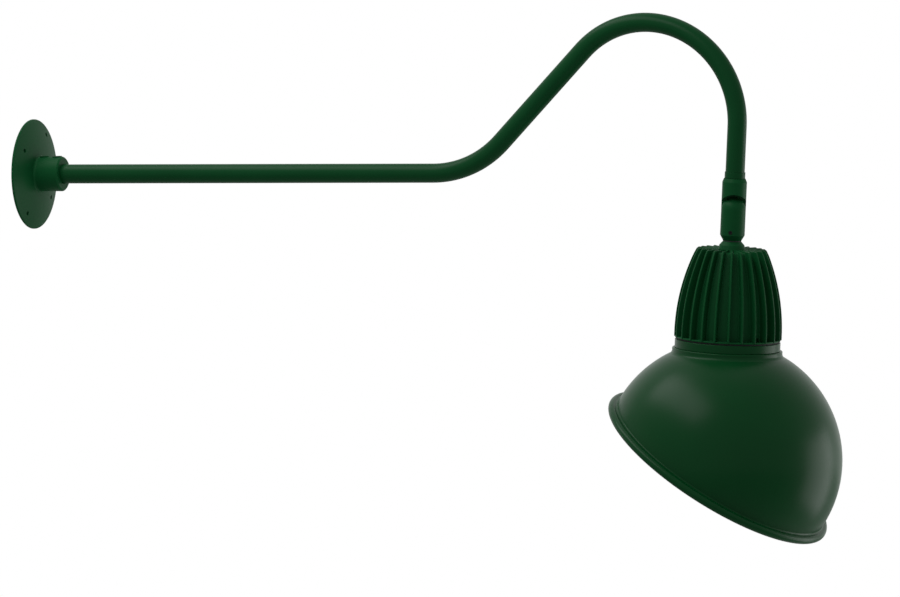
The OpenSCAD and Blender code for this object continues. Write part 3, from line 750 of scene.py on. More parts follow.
def tidied(item: Item, gap: float = 1e-6) -> Item:
    """Merges doubled points and turns the faces of closed shells outwards.

    Args:
        item: the object.
        gap: the distance in metres within which two points are one.

    Returns:
        The same object.
    """
    work = bmesh.new()
    work.from_mesh(item.data)
    bmesh.ops.remove_doubles(work, verts=work.verts, dist=gap)
    bmesh.ops.dissolve_degenerate(work, edges=work.edges, dist=gap)
    bmesh.ops.recalc_face_normals(work, faces=work.faces)
    work.to_mesh(item.data)
    work.free()
    return item


def smoothed(item: Item, sharp: float = 35.0) -> Item:
    """Shades smooth between edges, and weighs the normals so that flat faces stay flat.

    Args:
        item: the object.
        sharp: the angle in degrees from which an edge stays sharp.

    Returns:
        The same object.
    """
    item.data.polygons.foreach_set("use_smooth", np.ones(len(item.data.polygons), bool))
    item.data.set_sharp_from_angle(angle=math.radians(sharp))
    weigh = item.modifiers.new("weigh", "WEIGHTED_NORMAL")
    weigh.keep_sharp = True
    weigh.weight = 60
    return item


def applied(item: Item) -> Item:
    """Bakes an object's modifiers into its mesh.

    Args:
        item: the object.

    Returns:
        The same object.
    """
    graph = bpy.context.evaluated_depsgraph_get()
    mesh = bpy.data.meshes.new_from_object(item.evaluated_get(graph))
    item.modifiers.clear()
    item.data = mesh
    return item


def carved(item: Item, tools: Sequence[Surface], cut: bool = True) -> Item:
    """Cuts closed surfaces out of an object, or joins them to it.

    Args:
        item: the object.
        tools: the closed surfaces.
        cut: whether they are cut out.

    Returns:
        The same object.
    """
    for tool in tools:
        knife = mesh_object("knife", tool, [])
        change = item.modifiers.new("carve", "BOOLEAN")
        change.operation = "DIFFERENCE" if cut else "UNION"
        change.solver = "EXACT"
        change.object = knife
        applied(item)
        bpy.data.objects.remove(knife)
    return item


def softened(item: Item, width_mm: float, angle: float = 32.0, segments: int = 2) -> Item:
    """Rounds the edges that are sharper than an angle.

    Args:
        item: the object.
        width_mm: how far the rounding reaches from the edge.
        angle: the angle in degrees.
        segments: how many faces a rounding has.

    Returns:
        The same object.
    """
    bevel = item.modifiers.new("soften", "BEVEL")
    bevel.width = width_mm * MM
    bevel.segments = segments
    bevel.limit_method = "ANGLE"
    bevel.angle_limit = math.radians(angle)
    bevel.miter_outer = "MITER_ARC"
    return applied(item)


def rod(radius: float, start: Array, end: Array, segments: int = 48) -> Surface:
    """A closed cylinder between two points.

    Args:
        radius: its radius.
        start: the middle of one end.
        end: the middle of the other.
        segments: how many sides it has.

    Returns:
        The surface.
    """
    axis = (end - start) / np.linalg.norm(end - start)
    side = np.cross(axis, [0.0, 1.0, 0.0] if abs(axis[1]) < 0.9 else [1.0, 0.0, 0.0])
    side /= np.linalg.norm(side)
    up = np.cross(axis, side)
    a = circle(segments)[:, None]
    ring = radius * (np.cos(a) * side + np.sin(a) * up)
    grid = np.stack([start + 0 * ring, start + ring, end + ring, end + 0 * ring])
    return sheet(grid, wrap_columns=True)


EASE_STEP = 0.25
EASE_COUNT = 6


def strand(radius: float, corners: Sequence[Point], segments: int = 20) -> Surface:
    """A closed round wire along a chain of corners, whose bends are eased.

    The chain is cut into steps of EASE_STEP, and each point then becomes the mean of itself and
    EASE_COUNT neighbours either way, which turns a corner into a bend. Every second point carries
    a ring that stands square to the eased line.

    Args:
        radius: the wire's radius.
        corners: the chain, no part of which runs along X.
        segments: how many sides the wire has.

    Returns:
        The surface.
    """
    chain = np.array(corners, float)
    along = np.concatenate([[0.0], np.cumsum(np.linalg.norm(np.diff(chain, axis=0), axis=1))])
    place = np.arange(0.0, along[-1], EASE_STEP)
    line = np.stack([np.interp(place, along, chain[:, k]) for k in range(3)], axis=1)
    padded = np.pad(line, ((EASE_COUNT, EASE_COUNT), (0, 0)), mode="reflect", reflect_type="odd")
    window = 2 * EASE_COUNT + 1
    line = np.lib.stride_tricks.sliding_window_view(padded, window, axis=0).mean(axis=-1)[::2]
    way = np.gradient(line, axis=0)
    way /= np.linalg.norm(way, axis=1, keepdims=True)
    side = np.cross(way, [1.0, 0.0, 0.0])
    side /= np.linalg.norm(side, axis=1, keepdims=True)
    up = np.cross(way, side)
    a = circle(segments)[None, :, None]
    rings = line[:, None] + radius * (np.cos(a) * side[:, None] + np.sin(a) * up[:, None])
    ends = [np.broadcast_to(line[k], rings[:1].shape) for k in (0, -1)]
    return sheet(np.concatenate([ends[0], rings, ends[1]]), wrap_columns=True)


def block(low: Point, high: Point) -> Surface:
    """A closed box between two corners.

    Args:
        low: its lowest corner.
        high: its highest corner.

    Returns:
        The surface.
    """
    x, y, z = (np.array([a, b]) for a, b in zip(low, high))
    points = np.stack(np.meshgrid(x, y, z, indexing="ij"), axis=-1).reshape(-1, 3)
    across_x, across_y = [[0, 1, 3, 2], [4, 6, 7, 5]], [[0, 4, 5, 1], [2, 3, 7, 6]]
    faces = np.array([*across_x, *across_y, [0, 2, 6, 4], [1, 5, 7, 3]])
    return Surface(points, faces, np.zeros(6, int))


def piece(item: Item, body: Body, slot: str, *nodes: str) -> Item:
    """Attaches a finished piece to its body and hides the CAD nodes it stands for.

    Args:
        item: the piece.
        body: the body that it rides on.
        slot: the material slot's name; not used.
        *nodes: the CAD nodes that it replaces.

    Returns:
        The same piece.
    """
    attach(item, body.value)
    if nodes:
        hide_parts(*nodes)
    LOG.info("%s: %d faces on %s", item.name, len(item.data.polygons), body.value)
    return item


HEAD_FRAME = Place((PIVOT[0] / MM, PIVOT[1] / MM, PIVOT[2] / MM), LEAN)
SWIVEL_FRAME = Place(HEAD_FRAME.origin, LEAN, 23.0)


# ---------------------------------------------------------------- turned pieces and screws


def laid_along_y(surface: Surface) -> Surface:
    """A surface turned about Z, laid so that its axis is Y: (x, y, z) goes to (y, z, x)."""
    return Surface(surface.points[:, [1, 2, 0]], surface.faces, surface.paint)


def spun(surface: Surface, degrees: float) -> Surface:
    """A surface turned about Z.

    Args:
        surface: the surface.
        degrees: the turn.

    Returns:
        The turned surface.
    """
    c, s = math.cos(math.radians(degrees)), math.sin(math.radians(degrees))
    turn = np.array([[c, s, 0.0], [-s, c, 0.0], [0.0, 0.0, 1.0]])
    return Surface(surface.points @ turn, surface.faces, surface.paint)


def aimed(surface: Surface, start: Point, way: Point) -> Surface:
    """A surface whose Z axis is carried to a direction.

    Args:
        surface: the surface.
        start: where its origin goes.
        way: where its Z axis points.

    Returns:
        The carried surface.
    """
    up = np.array(way, float) / np.linalg.norm(way)
    side = np.cross([0.0, 1.0, 0.0] if abs(up[1]) < 0.9 else [1.0, 0.0, 0.0], up)
    side /= np.linalg.norm(side)
    axes = np.stack([side, np.cross(up, side), up])
    return Surface(surface.points @ axes + np.array(start), surface.faces, surface.paint)


@dataclass(frozen=True)
class Lathe:
    """A piece that is turned about one axis."""

    name: str
    body: Body
    slot: str
    node: str
    corners: tuple[Corner, ...]
    segments: int = 128
    along_x: bool = False

    def build(self, material: Material) -> Item:
        """Turns the section, with radius and height of each corner and its rounding.

        Args:
            material: the piece's finish.

        Returns:
            The piece.
        """
        solid = turned(rounded(self.corners), self.segments)
        solid = laid_along_x(solid) if self.along_x else solid.moved(HEAD_FRAME)
        item = smoothed(mesh_object(self.name, solid, [material]))
        return piece(item, self.body, self.slot, self.node)


class Recess(Enum):
    """The shape that a driver fits in."""

    HEX = "hex"
    CROSS = "cross"

    def reach(self, angle: Array, size: float) -> Array:
        """Distance from the middle to the recess's edge.

        A hexagon's edge is size / cos of the angle from the nearest flat's middle. A cross's edge
        is size over the smaller of |sin| and |cos|, and ends at 3.2 sizes.

        Args:
            angle: directions in radians.
            size: half the width across flats, or half an arm's width.

        Returns:
            The distances.
        """
        if self is Recess.HEX:
            return size / np.cos((angle + math.pi / 6) % (math.pi / 3) - math.pi / 6)
        thin = np.minimum(np.abs(np.sin(angle)), np.abs(np.cos(angle)))
        return np.minimum(size / np.maximum(thin, 1e-6), 3.2 * size)


@dataclass(frozen=True)
class Screw:
    """A screw along Z, with its outer end at the origin and its point towards -Z."""

    head: float
    height: float
    recess: Recess
    key: float
    deep: float
    crown: float = 0.0
    edge: float = 0.35
    shank: float = 0.0
    length: float = 0.0
    columns: int = 96

    def surface(self) -> Surface:
        """The screw's surface: rows of rings from its point, round its head and into the recess.

        Returns:
            The closed surface.
        """
        angle = circle(self.columns)
        low = -self.height
        rows: list[tuple[Any, Any]] = []
        if self.length:
            tip = low - self.length
            rows += [(0.0, tip), (self.shank - 0.3, tip)]
            rows += [(self.shank, tip + 0.3), (self.shank, low)]
            rows += [(self.head - 0.1, low), (self.head, low + 0.1)]
        else:
            rows += [(0.0, low), (self.head - 0.3, low), (self.head, low + 0.3)]
        flat = self.head - self.edge
        for t in np.linspace(0, np.pi / 2, 5):
            lift = self.edge * (math.sin(t) - 1) - self.crown
            rows.append((flat + self.edge * math.cos(t), lift))
        mouth = self.recess.reach(angle, self.key)
        for share in np.linspace(0, 1, 6)[1:]:
            r = flat + (mouth * 1.08 - flat) * share
            rows.append((r, -self.crown * (r / flat) ** 2))
        rows += [(mouth, -self.crown * (mouth / flat) ** 2 - 0.08), (0.94 * mouth, -self.deep)]
        rows.append((0.0, -self.deep - 0.3 * self.key))
        ring = np.stack([np.cos(angle), np.sin(angle)], axis=-1)
        grid = np.stack([
            np.concatenate([ring * np.broadcast_to(r, angle.shape)[:, None],
                            np.broadcast_to(z, angle.shape)[:, None]], axis=1) for r, z in rows
        ])
        return sheet(grid, wrap_columns=True)


def screws(
    name: str, body: Body, node: str, material: Material, solids: Sequence[Surface]
) -> Item:
    """One piece out of several screws that share a CAD node.

    Args:
        name: the piece's name.
        body: its body.
        node: the CAD node.
        material: the finish.
        solids: the screws, in millimetres of the shared frame.

    Returns:
        The piece.
    """
    item = smoothed(mesh_object(name, solids[0].joined(*solids[1:]), [material]), sharp=30.0)
    return piece(item, body, "screw", node)


# ---------------------------------------------------------------- bracket


@dataclass(frozen=True)
class WallPlate:
    """The casting that bolts to the wall: a low dome, a filleted hub and a hollow back."""

    radius: float = 61.0
    rim: float = 2.5
    rim_round: float = 1.5
    rise: float = 7.0
    wall: float = 3.2
    recess: float = 40.0
    groove_in: float = 54.8
    groove_out: float = 58.5
    groove_deep: float = 2.0
    hub: float = 19.25
    reach: float = 37.0
    chamfer: float = 1.5
    fillet: float = 3.0
    seat: float = 10.0
    lead_hole: float = 8.0
    bore: float = 10.73
    screw_places: tuple[float, float] = (14.2, 29.7)
    screw_hole: float = 3.95
    screw_sink: float = 1.4
    boss: float = 5.5
    boss_rise: float = 0.6
    hole: float = 2.4
    hole_places: tuple[tuple[float, float], ...] = (
        (50.8, 55), (50.8, 235), (44.45, 140), (44.45, 320),
    )
    foot: float = 2.0
    rim_turn: float = 78.0
    edge_round: float = 0.25
    gasket_gap: float = 0.05
    screw: Screw = Screw(head=3.9, height=7.1, recess=Recess.HEX, key=1.95, deep=3.6, edge=0.5)

    def front(self, r: Array) -> Array:
        """Height of the domed front over the wall: part of a ball that ends at the rim.

        Args:
            r: distances from the hub's axis.

        Returns:
            The heights.
        """
        edge = self.radius - self.rim_round
        ball = (edge**2 + self.rise**2) / (2 * self.rise)
        return self.rim + self.rise - ball + np.sqrt(ball**2 - r**2)

    def section(self) -> Array:
        """Half section as radius and distance from the wall.

        Returns:
            The closed outline.
        """
        foot = self.hub + self.fillet + self.foot
        hub_low = float(self.front(np.array(self.hub)))
        hub = rounded([
            (self.lead_hole, self.seat, 0.0), (self.bore, self.seat, 0.2),
            (self.bore, self.reach, 0.5), (self.hub - self.chamfer, self.reach, 0.7),
            (self.hub, self.reach - self.chamfer, 0.9),
            (self.hub, hub_low, self.fillet), (foot, float(self.front(np.array(foot))), 0.0),
        ], closed=False, steps=8)
        edge = self.radius - self.rim_round
        r = np.linspace(foot, edge, 26)[1:]
        dome = np.stack([r, self.front(r)], axis=1)
        a = np.radians(np.linspace(self.rim_turn, 0, 8))
        rim_high = self.rim - self.rim_round * (1 - np.sin(a))
        rim = np.stack([edge + self.rim_round * np.cos(a), rim_high], axis=1)
        back = rounded([
            (self.radius, self.rim - self.rim_round, 0.0), (self.radius, 0.0, 0.2),
            (self.groove_out, 0.0, 0.1), (self.groove_out, self.groove_deep, 0.1),
            (self.groove_in, self.groove_deep, 0.1),
            (self.groove_in, 0.0, 0.1), (self.recess, 0.0, 0.4),
            (self.recess, float(self.front(np.array(self.recess))) - self.wall, 0.0),
        ], closed=False)[1:]
        r = np.linspace(self.recess, self.lead_hole, 20)[1:]
        hollow = np.stack([r, self.front(r) - self.wall], axis=1)
        return np.concatenate([hub, dome, rim, back, hollow])

    def build(self, looks: Finishes) -> list[Item]:
        """Makes the casting, its gasket and the two hub set screws.

        Args:
            looks: the finishes.

        Returns:
            The pieces.
        """
        solid = laid_along_x(turned(self.section(), segments=192))
        item = mesh_object("plate_casting", solid, [looks.cast])
        low, high = np.array([0, 0, self.bore + 1]), np.array([0, 0, self.hub + self.boss_rise])
        shifts = [np.array([x, 0.0, 0.0]) for x in self.screw_places]
        carved(item, [rod(self.boss, low + s, high + s, segments=96) for s in shifts], cut=False)
        top = np.array([0, 0, self.hub + 5])
        carved(item, [rod(self.screw_hole, s, top + s, segments=96) for s in shifts])
        angles = [(r, math.radians(a)) for r, a in self.hole_places]
        middles = [np.array([0, r * math.cos(a), r * math.sin(a)]) for r, a in angles]
        reach = np.array([self.reach / 2, 0, 0])
        carved(item, [rod(self.hole, m - [1, 0, 0], m + reach, segments=64) for m in middles])
        softened(item, self.edge_round)
        piece(smoothed(item), Body.BRACKET, "plate", "wall_plate")
        inner, outer = self.groove_in + self.gasket_gap, self.groove_out - self.gasket_gap
        gasket = Lathe("plate_gasket", Body.BRACKET, "seal", "wall_gasket", (
            (inner, 0.0, 0.3), (outer, 0.0, 0.3),
            (outer, self.groove_deep, 0.3), (inner, self.groove_deep, 0.3),
        ), along_x=True).build(looks.foam)
        seat = self.hub - self.screw_sink
        solids = [aimed(self.screw.surface(), (x, 0.0, seat), (0, 0, 1)) for x in self.screw_places]
        pair = screws("hub_screws", Body.BRACKET, "hub_set_screws", looks.steel, solids)
        return [item, gasket, pair]


# ---------------------------------------------------------------- arm


@dataclass(frozen=True)
class GooseneckArm:
    """The bent tube, as a chain of straights and bends in the X-Z plane, and its collar."""

    radius: float = 10.64
    wall: float = 2.1
    start: float = 10.3
    run: float = 484.0
    lower_bend: float = 117.0
    rise_angle: float = 45.0
    rise: float = 142.5
    crook: float = 106.4
    lean: float = LEAN
    drop: float = 71.9
    groove_from_end: float = 5.7
    groove_width: float = 3.2
    groove_deep: float = 1.2
    collar_rise: float = 0.75
    collar_low: float = 34.7
    collar_high: float = 41.4
    collar_gap: float = 0.025
    end_round: float = 0.4
    groove_clear: float = 0.5
    straight_step: float = 24.0
    bend_step: float = 1.8

    def centre_line(self) -> tuple[Array, Array]:
        """Points of the centre line and the direction at each.

        A straight goes on in its direction. A bend of radius r from direction a to b puts the
        point at its centre + r (-sin, cos) of the direction where it turns down, or minus that
        where it turns up.

        Returns:
            The points in X and Z, and the directions in radians.
        """
        up, down = math.radians(self.rise_angle), -math.radians(90 + self.lean)
        spot = np.array([self.start, 0.0])
        points, ways = [], []
        legs = [(self.run - self.start, 0.0), (self.rise, up), (self.drop, down)]
        bends = [(self.lower_bend, 0.0, up, -1.0), (self.crook, up, down, 1.0)]
        for i, (length, way) in enumerate(legs):
            share = np.linspace(0, 1, max(3, int(length / self.straight_step)))[:, None]
            points.append(spot + share * length * np.array([math.cos(way), math.sin(way)]))
            ways.append(np.full(len(share), way))
            spot = points[-1][-1]
            if i < len(bends):
                radius, first, last, side = bends[i]
                centre = spot - side * radius * np.array([-math.sin(first), math.cos(first)])
                steps = int(abs(last - first) / math.radians(self.bend_step))
                t = np.linspace(first, last, steps)[1:-1]
                points.append(centre + side * radius * np.stack([-np.sin(t), np.cos(t)], axis=1))
                ways.append(t)
                spot = centre + side * radius * np.array([-math.sin(last), math.cos(last)])
        return np.concatenate(points), np.concatenate(ways)

    def tube(self, columns: int = 96) -> Surface:
        """The tube's skin: rings outside from the wall end on, then rings of the bore back to it.

        Args:
            columns: how many points a ring has.

        Returns:
            The closed surface.
        """
        middle, way = self.centre_line()
        step = np.linalg.norm(np.diff(middle, axis=0), axis=1)
        along = np.concatenate([[0.0], np.cumsum(step)])
        end = along[-1]
        cut = end - self.groove_from_end
        half, edge = self.groove_width / 2, self.end_round
        last = cut - half - self.groove_clear
        marks = [(0, -edge), (edge, 0), *((s, 0) for s in along[1:-1] if s < last)]
        marks += [(cut - half, 0), (cut - half, -self.groove_deep), (cut + half, -self.groove_deep)]
        marks += [(cut + half, 0), (end - edge, 0), (end, -edge), (end, -self.wall)]
        marks += [(s, -self.wall) for s in along[-2:0:-1]] + [(0, -self.wall)]
        place, rise = np.array(marks, float).T
        x, z = (np.interp(place, along, middle[:, k]) for k in (0, 1))
        turn = np.interp(place, along, way)
        a = circle(columns)
        r = (self.radius + rise)[:, None]
        lift = r * np.cos(a)
        grid = np.stack([
            x[:, None] - lift * np.sin(turn)[:, None],
            np.broadcast_to(-r * np.sin(a), lift.shape),
            z[:, None] + lift * np.cos(turn)[:, None],
        ], axis=-1)
        return sheet(grid, wrap_rows=True, wrap_columns=True)

    def build(self, looks: Finishes) -> list[Item]:
        """Makes the tube and its collar.

        Args:
            looks: the finishes.

        Returns:
            The pieces.
        """
        item = smoothed(mesh_object("gooseneck_tube", self.tube(), [looks.tube]))
        piece(item, Body.ARM, "paint", "arm_tube")
        inner, outer = self.radius + self.collar_gap, self.radius + self.collar_rise
        collar = Lathe("tube_collar", Body.ARM, "paint", "arm_collar", (
            (inner, self.collar_low, 0.1), (outer, self.collar_low, 0.35),
            (outer, self.collar_high, 0.35), (inner, self.collar_high, 0.1),
        ))
        return [item, collar.build(looks.tube)]


# ---------------------------------------------------------------- swivel


@dataclass(frozen=True)
class Swivel:
    """The two knuckles: the upper one turns on the tube and the lower one tilts on a screw."""

    radius: float = 13.6
    top: float = 34.4
    bevel: float = 4.0
    bevel_width: float = 1.7
    seat: float = 20.0
    bore: float = 10.73
    ring_low: float = 21.75
    ring_high: float = 23.05
    ring_radius: float = 11.98
    scoop: float = 17.2
    half_gap: float = 0.35
    cavity: float = 8.8
    boss: float = 4.2
    passage: float = 4.9
    passage_side: float = 5.6
    passage_start: float = 4.5
    pivot_hole: float = 2.55
    counterbore: float = 5.2
    pivot_floor: float = 11.0
    screw_hole: float = 2.55
    screw_height: float = 26.0
    side: float = 28.4
    bottom: float = 34.3
    end_radius: float = 10.2
    nipple: float = 9.25
    nipple_top: float = 19.9
    neck_hole: float = 2.3
    neck_height: float = 25.0
    neck_angle: float = -101.0
    edge_round: float = 0.4
    neck_screw: Screw = Screw(head=2.25, height=3.7, recess=Recess.HEX, key=1.0, deep=1.8, edge=0.3)
    neck_sink: float = 0.6
    grub: Screw = Screw(
        head=2.5, height=2.43, recess=Recess.HEX, key=1.25, deep=1.2,
        edge=0.3, shank=1.4, length=1.05,
    )
    grub_sink: float = 0.4
    tilt_screw: Screw = Screw(
        head=4.6, height=2.4, recess=Recess.HEX, key=1.75, deep=1.5,
        edge=0.4, shank=2.5, length=23.2,
    )
    tilt_rise: float = 3.2
    lead: float = 1.1
    lead_side: float = 3.0
    lead_pitch: float = 2.7
    lead_ends: tuple[float, float] = (24.0, -24.2)
    lead_bends: tuple[float, float] = (18.4, -18.6)
    lead_wide: float = 6.5
    lead_front: float = 6.7
    lead_clear: float = 0.8
    bend_half: float = 8.0

    def ball(self, sign: float) -> Array:
        """Quarter circle from the side to the axis, below the pivot for -1 and above it for 1."""
        a = np.linspace(0, np.pi / 2, 20)[1:]
        return np.stack([self.radius * np.cos(a), sign * self.radius * np.sin(a)], axis=1)

    def hollow(self, side: float, deep: float) -> list[Surface]:
        """Cutters for the scoop, the cavity about the pivot's boss and the lead passage.

        Args:
            side: 1 for the half whose tongue lies on +Y and points down, -1 for the other.
            deep: where the passage ends, above or below the pivot.

        Returns:
            The closed cutters, in the swivel's frame.
        """
        wide = 2 * self.radius
        y = side * self.half_gap
        scoop = rod(self.scoop, np.array([0, -side * wide, 0]), np.array([0, y, 0]), segments=160)
        low = (-wide, min(-side * wide, y), min(-side * wide, 0))
        high = (wide, max(-side * wide, y), max(-side * wide, 0))
        ring = np.array([
            (self.boss, y - side), (self.cavity, y - side),
            (self.cavity, side * self.cavity), (self.boss, side * self.cavity),
        ])
        across = side * self.passage_side
        start = np.array([0, across, side * self.passage_start])
        passage = rod(self.passage, start, np.array([0, across, side * deep]))
        return [scoop, block(low, high), laid_along_y(turned(ring, segments=64)), passage]

    def finish(self, item: Item, tools: Sequence[Surface]) -> Item:
        """Cuts a knuckle in the swivel's frame, softens its edges and carries it into place.

        Args:
            item: the uncut knuckle.
            tools: the cutters.

        Returns:
            The same object.
        """
        softened(carved(item, tools), self.edge_round)
        mesh = item.data
        flat = np.empty(len(mesh.vertices) * 3)
        mesh.vertices.foreach_get("co", flat)
        points = SWIVEL_FRAME.matrix() @ flat.reshape(-1, 3).T
        mesh.vertices.foreach_set("co", (points.T + np.array(SWIVEL_FRAME.origin) * MM).ravel())
        mesh.update()
        return smoothed(item, sharp=40.0)

    def upper(self, looks: Finishes) -> Item:
        """The upper knuckle, with its bevelled top and its tongue at the back.

        Args:
            looks: the finishes.

        Returns:
            The piece.
        """
        shell = rounded([
            (0.0, self.seat, 0.0), (self.bore, self.seat, 0.2), (self.bore, self.ring_low, 0.0),
            (self.ring_radius, self.ring_low, 0.0), (self.ring_radius, self.ring_high, 0.0),
            (self.bore, self.ring_high, 0.0), (self.bore, self.top, 0.3),
            (self.radius - self.bevel_width, self.top, 0.4),
            (self.radius, self.top - self.bevel, 1.2), (self.radius, 0.0, 0.0),
        ], closed=False, steps=6)
        section = np.concatenate([shell, self.ball(sign=-1.0)])
        item = mesh_object("swivel_upper", turned(section, segments=128), [looks.cast])
        far = np.array([0, 2 * self.radius, 0])
        height = np.array([0, 0, self.screw_height])
        tools = self.hollow(side=1.0, deep=self.seat + 1) + [
            rod(self.pivot_hole, np.array([0, -1, 0]), far),
            rod(self.counterbore, np.array([0, self.pivot_floor, 0]), far, segments=64),
            rod(self.screw_hole, height, height + far),
        ]
        return piece(self.finish(item, tools), Body.SWIVEL, "paint", "upper_knuckle")

    def lower(self, looks: Finishes) -> Item:
        """The lower knuckle, with its rounded tongue in front and its tapered end.

        Args:
            looks: the finishes.

        Returns:
            The piece.
        """
        shell = rounded([
            (0.0, -self.nipple_top, 0.0), (self.nipple, -self.nipple_top, 0.2),
            (self.nipple, -self.bottom, 0.2), (self.end_radius, -self.bottom, 0.3),
            (self.radius, -self.side, 1.0), (self.radius, 0.0, 0.0),
        ], closed=False, steps=6)
        section = np.concatenate([shell, self.ball(sign=1.0)])
        item = mesh_object("swivel_lower", turned(section, segments=128), [looks.cast])
        a = math.radians(self.neck_angle)
        way = np.array([math.cos(a), math.sin(a), 0.0]) * 2 * self.radius
        height = np.array([0, 0, -self.neck_height])
        tools = self.hollow(side=-1.0, deep=self.nipple_top + 0.3) + [
            rod(self.pivot_hole, np.array([0, -self.cavity - 3, 0]), np.array([0, 1, 0])),
            rod(self.neck_hole, height, height + way),
        ]
        return piece(self.finish(item, tools), Body.HEAD, "paint", "lower_knuckle")

    def leads(self, looks: Finishes) -> Item:
        """The three leads past the pivot, which run between the two knuckles.

        The outer two pass on either side of the pivot screw's boss. The middle one crosses above
        the boss and goes down one side of it.

        Args:
            looks: the finishes.

        Returns:
            The piece.
        """
        side, out, wide, front = self.lead_side, self.lead_pitch, self.lead_wide, self.lead_front
        (top, end), (high, low) = self.lead_ends, self.lead_bends
        back, turn = self.passage_side, self.cavity - self.lead_clear
        routes: list[list[Point]] = [[
            (s * out, side, top), (s * out, side, high),
            (s * out, back - 1, turn), (s * wide, side, 0),
            (s * wide, -side, 0), (s * out, 1 - back, -turn),
            (s * out, -side, low), (s * out, -side, end),
        ] for s in (-1, 1)]
        routes.append([
            (0, side, top), (0, side, high), (0, back + 1, 12), (0, back + 1, wide + 0.2),
            (0, -front, wide + 0.2), (-0.75 * wide, -front, 0.75 * wide), (-wide, -front, 0),
            (0, -back - 1, -10), (0, -side, low), (0, -side, end),
        ])
        wires = [strand(self.lead, route).moved(SWIVEL_FRAME) for route in routes]
        solid = wires[0].joined(*wires[1:])
        item = smoothed(mesh_object("pivot_leads", solid, [looks.live]), sharp=50.0)
        span = np.array([[0, 0, self.bend_half], [0, 0, -self.bend_half]])
        start, stop = SWIVEL_FRAME.out(span) * MM
        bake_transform(item)
        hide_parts("knuckle_leads")
        LOG.info("%s: %d faces across the pivot", item.name, len(item.data.polygons))
        return item

    def build(self, looks: Finishes) -> list[Item]:
        """Makes both knuckles, the leads between them and the screws that show on them.

        Args:
            looks: the finishes.

        Returns:
            The pieces.
        """
        a = math.radians(self.neck_angle)
        out = (math.cos(a), math.sin(a), 0.0)
        neck_r = self.radius - self.neck_sink
        neck_end = (neck_r * out[0], neck_r * out[1], -self.neck_height)
        grub_end = (0.0, self.radius - self.grub_sink, self.screw_height)
        tilt_end = (0.0, self.pivot_floor + self.tilt_rise, 0.0)
        parts = [self.upper(looks), self.lower(looks), self.leads(looks)]
        for name, body, node, screw, end, way in (
            ("neck_screw", Body.HEAD, "neck_set_screw", self.neck_screw, neck_end, out),
            ("swivel_screw", Body.SWIVEL, "swivel_set_screw", self.grub, grub_end, (0, 1, 0)),
            ("tilt_screw", Body.HEAD, "pivot_screw", self.tilt_screw, tilt_end, (0, 1, 0)),
        ):
            solid = aimed(screw.surface(), end, way).moved(SWIVEL_FRAME)
            parts.append(screws(name, body, node, looks.black, [solid]))
        return parts


# ---------------------------------------------------------------- lamp housing


